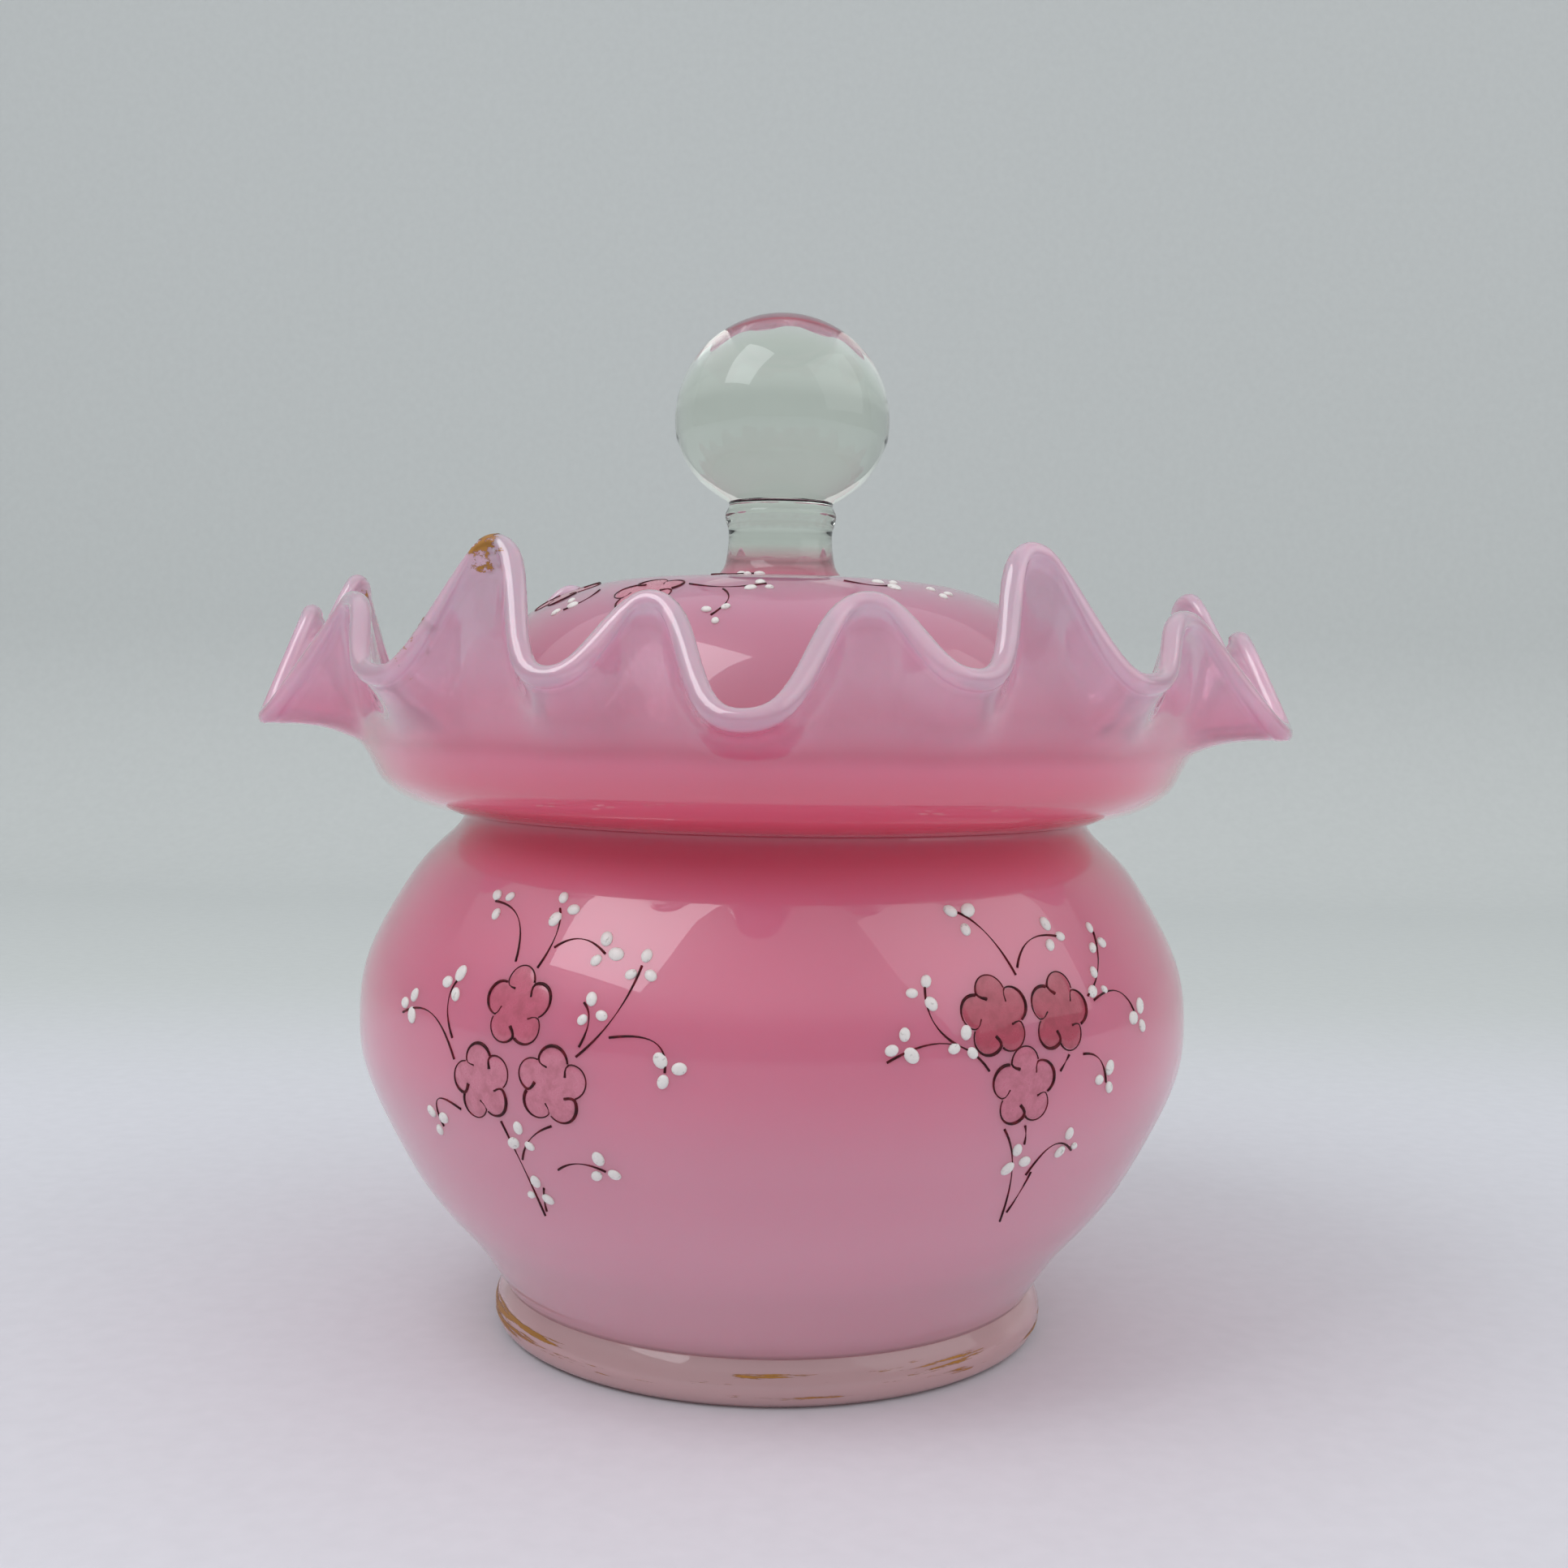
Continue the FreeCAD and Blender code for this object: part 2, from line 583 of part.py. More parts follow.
def paint_spray(spray, place, travel, layers, dome_of):
    """One spray's four kinds of enamel: wash, outlines, stems and dots."""
    outlines = [
        petal_stroke(blossom, petal, place) for blossom in spray["blossoms"] for petal in range(PETALS)]
    stems = [stem_stroke(stem, place) for stem in spray["stems"]]
    washes = [blossom_face(blossom, place).cut(outlines) for blossom in spray["blossoms"]]
    dots = [dome_of(across, up) for across, up in dot_places(spray["dots"])]
    return {
        "outlines": painted(outlines, travel, layers["line"]),
        "stems": painted(stems, travel, layers["line"]),
        "washes": painted(washes, travel, layers["wash"]),
        "dots": Part.makeCompound([layers["dot"].common(dot).Solids[0] for dot in dots]),
    }


def radius_at(pairs, height):
    """The outline's radius at a height, read along its spline."""
    points = spline(on_section(pairs)).discretize(400)
    best = min(points, key=lambda point: abs(point.z - height))
    return best.x


def height_at(pairs, radius):
    """The outline's height at a radius, read along its spline."""
    points = spline(on_section(pairs)).discretize(400)
    best = min(points, key=lambda point: abs(point.x - radius))
    return best.z


def make_belly_spray(side):
    """A spray on the belly, painted facing the front and then turned to its place."""
    spray = BELLY_SPRAYS[side]
    outline = belly_pairs()

    def place(across, up):
        height = SPRAY_HEIGHT + up
        radius = radius_at(outline, height)
        return Vector(radius * math.sin(across / radius), -BELLY_RADIUS - STAND_OFF, height)

    def dome_of(across, up):
        height = SPRAY_HEIGHT + up
        radius = radius_at(outline, height)
        sunk = radius - DOT_SPHERE_RADIUS + DOT_HEIGHT
        return Part.makeSphere(DOT_SPHERE_RADIUS, polar(math.degrees(across / radius), sunk, height))

    front = -90.0 - SPRAY_SWEEP / 2
    layers = {
        "line": coat(outline, LINE_THICKNESS, SPRAY_SWEEP, front),
        "wash": coat(outline, WASH_THICKNESS, SPRAY_SWEEP, front),
        "dot": coat(outline, DOT_LAYER, SPRAY_SWEEP, front),
    }
    travel = Vector(0, BELLY_RADIUS, 0)
    enamel = paint_spray(spray, place, travel, layers, dome_of)
    for shape in enamel.values():
        shape.rotate(Vector(), Vector(0, 0, 1), spray["angle"])
    return enamel


def make_lid_spray():
    """The spray on the lid's shoulder, painted from above."""
    outline = lid_pairs()

    def place(across, up):
        return Vector(across, up, LID_TOP + STAND_OFF)

    def dome_of(across, up):
        height = height_at(outline, math.hypot(across, up))
        return Part.makeSphere(DOT_SPHERE_RADIUS, Vector(across, up, height - DOT_SPHERE_RADIUS + DOT_HEIGHT))

    layers = {
        "line": coat(outline, LINE_THICKNESS),
        "wash": coat(outline, WASH_THICKNESS),
        "dot": coat(outline, DOT_LAYER),
    }
    return paint_spray(LID_SPRAY, place, Vector(0, 0, -LID_RISE), layers, dome_of)


# ---------------------------------------------------------------- the jar
os.makedirs("parts", exist_ok=True)
save("foot_ring", make_foot_ring())
save("bowl", make_bowl())
save("ruffled_collar", make_ruffled_collar())
save("lid_dome", make_lid_dome())
save("knob", make_knob())
save("rim_gilding", make_rim_gilding())
save("foot_gilding", make_foot_gilding())
for side in BELLY_SPRAYS:
    for kind, shape in make_belly_spray(side).items():
        save(side + "_spray_" + kind, shape)
for kind, shape in make_lid_spray().items():
    save("lid_spray_" + kind, shape)
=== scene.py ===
import math

import bmesh
import bpy
from mathutils import Matrix, Vector, noise


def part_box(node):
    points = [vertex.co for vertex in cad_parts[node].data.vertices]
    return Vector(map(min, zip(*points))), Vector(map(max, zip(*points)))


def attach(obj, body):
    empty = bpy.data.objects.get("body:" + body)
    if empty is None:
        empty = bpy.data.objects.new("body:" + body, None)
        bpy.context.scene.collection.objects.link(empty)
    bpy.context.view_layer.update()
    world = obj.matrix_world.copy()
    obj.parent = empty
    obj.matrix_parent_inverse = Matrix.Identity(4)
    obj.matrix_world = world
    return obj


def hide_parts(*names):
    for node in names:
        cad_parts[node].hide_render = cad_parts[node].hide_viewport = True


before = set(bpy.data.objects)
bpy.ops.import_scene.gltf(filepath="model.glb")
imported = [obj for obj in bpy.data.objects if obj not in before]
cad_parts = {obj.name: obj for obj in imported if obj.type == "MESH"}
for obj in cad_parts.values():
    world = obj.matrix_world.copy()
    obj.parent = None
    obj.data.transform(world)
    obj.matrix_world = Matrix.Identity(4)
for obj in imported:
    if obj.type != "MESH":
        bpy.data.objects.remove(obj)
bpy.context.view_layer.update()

# A hand-blown opaline cream jar. Shapes are drawn in millimetres, with the jar's axis on Z,
# and scaled to metres as each piece is finished. An angle is in degrees from the painted
# front (-Y) towards +X.
MM = 0.001


def box_mm(node):
    """A frame node's lowest and highest corners in millimetres."""
    low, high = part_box(node)
    return low / MM, high / MM


# ------------------------------------------------------------------ sizes from the frame
FOOT_HEIGHT = box_mm("bowl")[0].z
FOOT_RADIUS = box_mm("foot_ring")[1].x
BELLY_RADIUS = box_mm("bowl")[1].x
NECK_HEIGHT = box_mm("bowl")[1].z
SEAT_HEIGHT = box_mm("lid_dome")[0].z
LID_TOP = box_mm("lid_dome")[1].z
LID_RADIUS = box_mm("lid_dome")[1].x
KNOB_RADIUS = box_mm("knob")[1].x
KNOB_CENTRE = box_mm("knob")[1].z - KNOB_RADIUS

# ------------------------------------------------------------------ sizes of the glass
FOOT_BORE_RADIUS = 31.0
FOOT_TOP_RADIUS = FOOT_RADIUS - 1.4
NECK_RADIUS = 44.3
WALL = 3.0
BASE_THICKNESS = 4.5
KICK_HEIGHT = 2.0
FLOOR_TURN_UP = 1.0          # the floor meets the wall this far above its middle
THROAT_RADIUS = NECK_RADIUS - WALL
COLLAR_RADIUS = 58.2
RUFFLE_WALL = 2.2
RUFFLE_BEAD = 2.7
RUFFLE_ROOT = NECK_HEIGHT + 9.1
LID_WALL = 3.0
STEM_RADIUS = 7.6
STEM_LENGTH = 11.0
STEM_FOOT_RADIUS = STEM_RADIUS + 1.8
BALL_START = -10.0           # degrees round the ball from its middle, where the taper meets it
TURN_STEPS = 240
FOLD_STEPS = 480
MERGE_DISTANCE = 0.0001

# Outlines: the belly's are (share of its rise, share of its bulge), the collar's (share of its
# width, rise above the neck) and the lid's (share of its reach, share of its fall).
BELLY_SHAPE = (
    (0.0, 0.0), (0.10, 0.19), (0.19, 0.43), (0.28, 0.63), (0.45, 0.92),
    (0.57, 1.0), (0.71, 0.92), (0.88, 0.50), (0.97, 0.08), (1.0, 0.0),
)
COLLAR_OUTSIDE = (
    (0.0, 0.0), (0.09, 0.15), (0.30, 0.8), (0.54, 1.9), (0.70, 3.1), (0.85, 5.0), (0.95, 7.6),
)
COLLAR_INSIDE = (
    (0.97, 8.7), (0.83, 6.9), (0.67, 5.5), (0.40, 4.1), (0.15, 2.8), (0.0, 1.3), (0.0, 0.0),
)
LID_SHAPE = (
    (1.0, 0.93), (0.98, 0.84), (0.92, 0.62), (0.82, 0.38), (0.66, 0.18), (0.45, 0.055),
    (0.22, 0.012), (0.0, 0.0),
)
# The floor is (share of the inside's radius, rise) and the pushed-up base (share of the
# bore, share of the kick).
FLOOR_SHAPE = ((0.0, 0.0), (0.6, 0.1), (0.92, 0.5))
KICK_SHAPE = ((0.0, 1.0), (0.5, 0.8), (1.0, 0.0))

# The knob's outline: (beyond the stem's radius, share of the stem's length) up to the
# tooled ring, then (share out, share up) of the ball's radius from its middle.
STEM_SHAPE = ((0.5, 0.145), (0.0, 0.364), (-0.1, 0.6), (0.35, 0.76), (0.4, 0.85), (-0.1, 0.95))
KNOB_TAPER = ((0.50, -0.755), (0.60, -0.69), (0.77, -0.555), (0.90, -0.375))

# The ruffle's edge, fold by fold: (angle, reach beyond the collar, rise above the neck).
FOLDS = (
    (-3, 12.8, 14.5), (10, 1.3, 29.0), (20, 8.5, 20.0), (30, 0.8, 35.5),
    (42, 8.0, 20.0), (56, 3.8, 28.5), (71, 13.8, 13.0), (85, 7.8, 27.0),
    (94, 12.0, 19.0), (104, 6.8, 33.5), (116, 11.0, 19.0), (127, 1.8, 29.5),
    (138, 11.8, 15.5), (150, 1.8, 34.5), (162, 10.0, 19.5), (173, 1.8, 29.5),
    (184, 12.8, 14.5), (195, 1.8, 30.0), (206, 10.0, 20.0), (217, 0.8, 35.0),
    (228, 10.5, 19.5), (239, 2.8, 29.0), (250, 11.8, 15.5), (260, 6.8, 34.0),
    (269, 12.0, 19.0), (277, 8.3, 28.5), (287, 14.0, 13.0), (297, 3.8, 29.5),
    (314, 8.5, 19.5), (326, 1.3, 35.5), (337, 8.5, 19.5), (346, 1.3, 28.8),
)
FOLD_ROUNDING = 0.35         # above 0, the crests and dips are rounder and the flanks steeper
RUFFLE_BEND = (2.6, 4.2)     # out and up from the root, where the wall turns towards its edge
PLAIN_HEIGHT = 24.0          # the ruffle's wall before it is crimped
RUFFLE_ROWS = 15
THINNED_SHARE = 0.7          # how far up the wall it is down to the ruffle's thickness
UPRIGHT_SHARE = 0.45         # how far up the wall its thickness is still laid straight outwards
LIP_START = -40.0            # degrees round the rolled lip, from its outer side over its top
LIP_END = 220.0
JOINING_REACH = 3.0          # how far above and below its root the ruffle is smoothed
JOINING_PASSES = 10

# The gold that is left: (start, end, amount) of each stretch of the ruffle's edge, in degrees.
RIM_GILDING = (
    (-37.0, -31.5, 1.0), (-43.5, -40, 0.68), (-66, -61, 0.45), (22, 29, 0.2), (84, 92, 0.6),
    (98, 106, 0.4), (-108, -98, 0.6),
)
RIM_GOLD_BLUR = 2            # degrees over which a stretch fades at either end
RIM_GOLD_WHOLE = 2.5         # how far down from the edge the gold is whole, and where it ends
RIM_GOLD_END = 7.0
GILDING_LIFT = 0.05

# ------------------------------------------------------------------ painted sprays
# (across, up) in millimetres about each spray's middle. Blossoms are (across, up, turn),
# stems are (start, bend, end) and dots come in threes: (across, up, turn).
BLOSSOM_RADIUS = 4.7
PETAL_RADIUS = 1.97
PETALS = 5
DOT_RING_RADIUS = 1.4
DOT_RADIUS = 0.95
DOT_HEIGHT = 0.35
DOT_NARROWING = 0.8
PETAL_START = -84.0          # degrees from the petal's own direction, where the brush lands
PETAL_SWEEP = 215.0
HOOK_SHARE = 0.78            # how far along its stroke the brush begins to hook inwards
LINE_HALF_WIDTH = 0.085      # half the width of a light stroke, and what pressing adds to it
LINE_PRESS = 0.13
STEM_HALF_WIDTH = 0.065
STEM_PRESS = 0.095
WASH_RINGS = 8
WASH_STEPS = 80
WASH_THICKNESS = 0.07
WASH_EDGE = -0.02            # the wash's edge is sunk into the glass
PALE_WASH = 0.15
SPRAY_HEIGHT = FOOT_HEIGHT + 0.626 * (NECK_HEIGHT - FOOT_HEIGHT)
BELLY_SPRAYS = {
    "left": {
        "angle": -31.0,
        "blossoms": ((-0.5, 4.2, 92), (-5.2, -5.0, 102), (5.3, -4.2, 85)),
        "stems": (
            ((-2.5, 9.2), (-3.0, 15.5), (-9.5, 15.5)),
            ((1.0, 8.8), (3.0, 13.0), (1.2, 15.5)),
            ((2.45, 11.2), (5.5, 13.7), (9.5, 11.0)),
            ((8.5, -0.5), (14.0, 4.0), (14.5, 10.0)),
            ((8.8, 0.65), (10.6, 4.0), (8.6, 5.6)),
            ((12.5, 2.0), (20.0, 3.5), (19.5, -1.5)),
            ((-10.0, -3.0), (-14.0, 4.5), (-22.0, 1.0)),
            ((-10.5, -0.5), (-13.5, 4.0), (-11.0, 6.5)),
            ((-9.2, -9.0), (-16.0, -6.5), (-13.6, -12.0)),
            ((-2.5, -9.4), (-0.5, -14.0), (0.0, -21.5)),
            ((5.0, -9.0), (1.0, -10.5), (-0.5, -14.0)),
            ((4.5, -14.6), (7.5, -12.5), (11.0, -14.0)),
            ((1.4, -17.5), (0.7, -19.0), (0.5, -20.8)),
        ),
        "dots": (
            (-8.5, 15.5, 30), (1.8, 15.5, 0), (9.5, 11.3, -10), (14.7, 9.7, 90),
            (9.8, 4.7, 105), (19.8, -1.2, 10), (-20.3, 2.2, 60), (-11.7, 5.8, 60),
            (-14.5, -11.3, 20), (0.0, -11.3, 90), (10.7, -13.8, 100), (0.3, -18.2, 85),
        ),
    },
    "right": {
        "angle": 30.5,
        "blossoms": ((-3.0, 4.5, 95), (6.7, 4.2, 80), (0.5, -3.8, 92)),
        "stems": (
            ((1.0, 8.8), (-1.0, 14.5), (-4.5, 16.0)),
            ((1.5, 9.6), (4.0, 14.0), (10.0, 12.5)),
            ((12.0, 5.6), (16.5, 8.0), (17.0, 12.5)),
            ((13.0, 5.0), (20.0, 7.5), (22.0, 1.5)),
            ((-8.5, 1.5), (-13.0, 4.0), (-11.5, 8.5)),
            ((-4.6, -1.6), (-9.0, 4.5), (-17.5, 0.0)),
            ((10.0, -1.0), (14.0, -1.0), (14.5, -5.0)),
            ((7.5, -0.8), (7.0, -1.5), (6.0, -2.6)),
            ((-2.0, -8.7), (1.5, -13.0), (2.0, -21.5)),
            ((1.0, -8.6), (1.5, -9.5), (1.5, -11.0)),
            ((4.0, -15.0), (3.5, -18.0), (2.5, -20.3)),
            ((3.3, -15.3), (6.0, -9.5), (10.0, -13.0)),
        ),
        "dots": (
            (-4.2, 15.5, 30), (8.7, 12.8, -10), (16.7, 11.7, -20), (14.3, 6.7, 90),
            (22.5, 2.0, 60), (-12.0, 7.5, 60), (-15.5, 1.7, 75), (-7.8, 1.6, 75),
            (14.5, -4.5, 60), (9.0, -12.0, 100), (1.0, -13.0, 105),
        ),
    },
}
# The lid's spray is drawn seen from above, about the jar's axis.
LID_SPRAY = {
    "blossoms": ((-17.0, -26.5, 80), (-29.0, -11.5, 40)),
    "stems": (
        ((-11.6, -27.1), (-7.0, -31.5), (-1.6, -29.2)),
        ((-7.1, -30.5), (-5.0, -34.0), (-8.4, -36.2)),
        ((-24.0, -19.5), (-25.0, -23.5), (-28.5, -22.0)),
        ((8.5, -25.5), (12.5, -27.0), (15.0, -24.0)),
        ((-9.0, -21.0), (-6.5, -18.0), (-3.0, -18.5)),
    ),
    "dots": (
        (-2.4, -29.9, 90), (-7.8, -35.8, 30), (-28.2, -21.0, 70), (14.4, -23.6, 60),
        (-4.0, -18.8, 20), (21.5, -21.5, 40),
    ),
}


# ------------------------------------------------------------------ outlines
def polar(angle, radius, height):
    """A point at an angle from the front."""
    turn = math.radians(angle)
    return Vector((radius * math.sin(turn), -radius * math.cos(turn), height))


def fade(value, low, high):
    """0 at low and 1 at high, eased between."""
    share = min(max((value - low) / (high - low), 0.0), 1.0)
    return share * share * (3 - 2 * share)


def rounded(pairs, steps=6):
    """A smooth outline through the pairs (Catmull-Rom), with each span cut into steps."""
    padded = [pairs[0], *pairs, pairs[-1]]
    outline = []
    for p0, p1, p2, p3 in zip(padded, padded[1:], padded[2:], padded[3:]):
        for step in range(steps):
            t = step / steps
            outline.append(tuple(
                0.5 * (2 * b + (c - a) * t + (2 * a - 5 * b + 4 * c - d) * t ** 2
                       + (3 * b - a - 3 * c + d) * t ** 3)
                for a, b, c, d in zip(p0, p1, p2, p3)))
    return outline + [tuple(pairs[-1])]


def offset(outline, distance):
    """The outline moved to the right of its direction of travel."""
    moved = []
    for index, point in enumerate(outline):
        before = Vector(outline[max(index - 1, 0)])
        after = Vector(outline[min(index + 1, len(outline) - 1)])
        along = (after - before).normalized()
        moved.append((point[0] + distance * along.y, point[1] - distance * along.x))
    return moved


def arc(centre, radius, start, end, steps):
    """Points of a round stretch of outline, angles in degrees from the outward direction."""
    points = []
    for step in range(steps + 1):
        turn = math.radians(start + (end - start) * step / steps)
        points.append((centre[0] + radius * math.cos(turn), centre[1] + radius * math.sin(turn)))
    return points


def belly_outline():
    """The belly's outside, foot to neck."""
    pairs = []
    for rise, bulge in BELLY_SHAPE:
        straight = FOOT_TOP_RADIUS + (NECK_RADIUS - FOOT_TOP_RADIUS) * rise
        radius = straight + (BELLY_RADIUS - straight) * bulge
        pairs.append((radius, FOOT_HEIGHT + (NECK_HEIGHT - FOOT_HEIGHT) * rise))
    return rounded(pairs)


def lid_outline():
    """The lid's outside, rim to the knob's seat."""
    reach = LID_RADIUS - STEM_FOOT_RADIUS
    rise = LID_TOP - SEAT_HEIGHT
    return rounded([
        (STEM_FOOT_RADIUS + reach * share, LID_TOP - rise * fall) for share, fall in LID_SHAPE])


def read_outline(outline, value, known, wanted):
    """The wanted coordinate where the known one has the value, and the slope's normal.

    Known and wanted are 0 for the radius and 1 for the height.
    """
    for before, after in zip(outline, outline[1:]):
        low, high = sorted((before[known], after[known]))
        if low <= value <= high and high > low:
            share = (value - before[known]) / (after[known] - before[known])
            along = Vector((after[0] - before[0], after[1] - before[1])).normalized()
            return before[wanted] + (after[wanted] - before[wanted]) * share, Vector((along.y, -along.x))
    raise ValueError("the outline doesn't reach that value")


# ------------------------------------------------------------------ meshes
def draw_line(shape, points, closed=False):
    """Vertices at the points, joined one after another. Returns the edges."""
    corners = [shape.verts.new(point) for point in points]
    ends = corners[1:] + corners[:1] if closed else corners[1:]
    return [shape.edges.new(pair) for pair in zip(corners, ends)]


def spin_round(shape, steps):
    """Turn a line all the way round the Z axis and merge its seam and poles."""
    bmesh.ops.spin(
        shape, geom=shape.verts[:] + shape.edges[:], cent=(0, 0, 0), axis=(0, 0, 1), dvec=(0, 0, 0),
        angle=2 * math.pi, steps=steps, use_merge=True, use_normal_flip=False, use_duplicate=False)
    bmesh.ops.remove_doubles(shape, verts=shape.verts[:], dist=MERGE_DISTANCE)


def face_outwards(shape):
    """Point every face of a closed shape away from its inside."""
    bmesh.ops.recalc_face_normals(shape, faces=shape.faces[:])


def spun(outline, closed=False, steps=TURN_STEPS):
    """A bmesh spun about the axis from an outline of (radius, height)."""
    shape = bmesh.new()
    draw_line(shape, [(radius, 0, height) for radius, height in outline], closed)
    spin_round(shape, steps)
    face_outwards(shape)
    return shape


def make_object(name, shape, material):
    """A smooth object in the scene, made from a bmesh, which is used up."""
    mesh = bpy.data.meshes.new(name)
    shape.to_mesh(mesh)
    shape.free()
    mesh.shade_smooth()
    mesh.materials.append(material)
    made = bpy.data.objects.new(name, mesh)
    bpy.context.scene.collection.objects.link(made)
    return made


def finish_piece(name, shape, body, slot, *nodes, material=None):
    """Scale a bmesh to metres and make it a piece that rides on a body in place of frame nodes.

    The material is the slot's own unless another is given.
    """
    bmesh.ops.scale(shape, vec=(MM, MM, MM), verts=shape.verts[:])
    piece = make_object(name, shape, material or MATERIALS[slot])
    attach(piece, body)
    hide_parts(*nodes)


# ------------------------------------------------------------------ glass pieces
def bowl_shape():
    """The belly: outside, neck, inside, floor and pushed-up base."""
    outside = belly_outline()
    floor_height = FOOT_HEIGHT + BASE_THICKNESS
    inside = [pair for pair in offset(outside, -WALL) if pair[1] > floor_height + FLOOR_TURN_UP]
    inside[-1] = (THROAT_RADIUS, NECK_HEIGHT)
    floor = [(share * inside[0][0], floor_height + rise) for share, rise in FLOOR_SHAPE]
    floor = rounded([*floor, inside[0]])
    base = rounded([
        (share * FOOT_BORE_RADIUS, FOOT_HEIGHT + rise * KICK_HEIGHT) for share, rise in KICK_SHAPE])
    return spun(base + outside + inside[::-1] + floor[-2::-1])


def foot_shape():
    """The clear foot ring."""
    outside = rounded([
        (FOOT_RADIUS - 1.6, 0.0), (FOOT_RADIUS - 0.3, 1.0), (FOOT_RADIUS, 0.45 * FOOT_HEIGHT),
        (FOOT_RADIUS - 0.5, 0.75 * FOOT_HEIGHT), (FOOT_TOP_RADIUS, FOOT_HEIGHT),
    ])
    inside = rounded([
        (FOOT_BORE_RADIUS, FOOT_HEIGHT), (FOOT_BORE_RADIUS + 0.6, 0.4 * FOOT_HEIGHT),
        (FOOT_BORE_RADIUS + 2.4, 0.0),
    ])
    return spun(outside + inside, closed=True)


def fold_edge(angle):
    """The ruffle's edge at an angle: (radius, height), eased from fold to fold."""
    first, first_reach, first_rise = FOLDS[0]
    angle = (angle - first) % 360.0 + first
    folds = FOLDS + ((first + 360, first_reach, first_rise),)
    for before, after in zip(folds, folds[1:]):
        if before[0] <= angle <= after[0]:
            share = (angle - before[0]) / (after[0] - before[0])
            share -= FOLD_ROUNDING * math.sin(2 * math.pi * share) / (2 * math.pi)
            ease = (1 - math.cos(math.pi * share)) / 2
            reach = before[1] + (after[1] - before[1]) * ease
            rise = before[2] + (after[2] - before[2]) * ease
            return COLLAR_RADIUS + reach, NECK_HEIGHT + rise
    raise ValueError("the folds leave a gap")


def ruffle_middle(angle, share):
    """The middle of the ruffle's wall, from the collar (0) to the edge (1)."""
    edge = Vector(fold_edge(angle))
    root = Vector((COLLAR_RADIUS - WALL / 2, RUFFLE_ROOT))
    bend = root + Vector(RUFFLE_BEND)
    edge -= (edge - bend).normalized() * RUFFLE_BEAD / 2
    rest = 1 - share
    radius, height = rest * rest * root + 2 * rest * share * bend + share * share * edge
    return polar(angle, radius, height)


def ruffle_frame(angle, share):
    """The wall's middle there, its outward normal and its direction towards the edge."""
    step = 0.5
    nudge = 0.02
    across = ruffle_middle(angle + step, share) - ruffle_middle(angle - step, share)
    upward = ruffle_middle(angle, share + nudge) - ruffle_middle(angle, share - nudge)
    return ruffle_middle(angle, share), across.cross(upward).normalized(), upward.normalized()


def plain_collar():
    """The collar and ruffle before crimping: spun as an upright wall with a rolled lip."""
    width = COLLAR_RADIUS - NECK_RADIUS
    outside = rounded([
        (NECK_RADIUS + width * share, NECK_HEIGHT + rise) for share, rise in COLLAR_OUTSIDE], 4)
    inside = rounded([
        (THROAT_RADIUS + width * share, NECK_HEIGHT + rise) for share, rise in COLLAR_INSIDE], 4)
    skin_out = []
    for row in range(RUFFLE_ROWS):
        share = row / RUFFLE_ROWS
        half = (WALL + (RUFFLE_WALL - WALL) * fade(share, 0.0, THINNED_SHARE)) / 2
        skin_out.append((half, RUFFLE_ROOT + PLAIN_HEIGHT * share))
    skin_in = [(-half, height) for half, height in skin_out[::-1]]
    lip = arc((0.0, RUFFLE_ROOT + PLAIN_HEIGHT), RUFFLE_BEAD / 2, LIP_START, LIP_END, 14)
    wall = [(COLLAR_RADIUS + aside, height) for aside, height in skin_out + lip + skin_in]
    return spun(outside + wall + inside, closed=True, steps=FOLD_STEPS)


def collar_shape():
    """The collar and ruffle, crimped into its folds, with how far up the wall each place is."""
    shape = plain_collar()
    plain_top = RUFFLE_ROOT + PLAIN_HEIGHT
    reach = shape.verts.layers.float.new("reach")
    frames = {}
    for vert in shape.verts:
        if vert.co.z < RUFFLE_ROOT - 0.001:
            continue
        angle = math.degrees(math.atan2(vert.co.x, -vert.co.y))
        in_lip = vert.co.z > plain_top - RUFFLE_BEAD / 2
        share = 1.0 if in_lip else (vert.co.z - RUFFLE_ROOT) / PLAIN_HEIGHT
        beyond = vert.co.z - plain_top if in_lip else 0.0
        key = (round(angle, 3), round(share, 4))
        if key not in frames:
            middle, normal, upward = ruffle_frame(angle, share)
            normal = polar(angle, 1.0, 0.0).lerp(normal, fade(share, 0.0, UPRIGHT_SHARE)).normalized()
            frames[key] = (middle, normal, upward)
        middle, normal, upward = frames[key]
        vert[reach] = share
        aside = math.hypot(vert.co.x, vert.co.y) - COLLAR_RADIUS
        vert.co = middle + normal * aside + upward * beyond
    joining = [
        vert for vert in shape.verts
        if RUFFLE_ROOT - JOINING_REACH < vert.co.z < RUFFLE_ROOT + JOINING_REACH]
    for _ in range(JOINING_PASSES):
        bmesh.ops.smooth_vert(
            shape, verts=joining, factor=0.5, use_axis_x=True, use_axis_y=True, use_axis_z=True)
    face_outwards(shape)
    return shape


def lid_shape():
    """The lid's dome with its rounded rim."""
    outside = lid_outline()
    rim_radius, rim_height = outside[0]
    inside = offset(outside, -LID_WALL)[2:]
    rim_middle = (rim_radius - LID_WALL / 2, rim_height)
    rim = arc(rim_middle, LID_WALL / 2, -180.0, 0.0, 10)
    outside.append((0.0, LID_TOP))
    inside[-1] = (inside[-1][0], LID_TOP - LID_WALL)
    inside.append((0.0, LID_TOP - LID_WALL))
    return spun(inside[::-1] + rim + outside[1:])


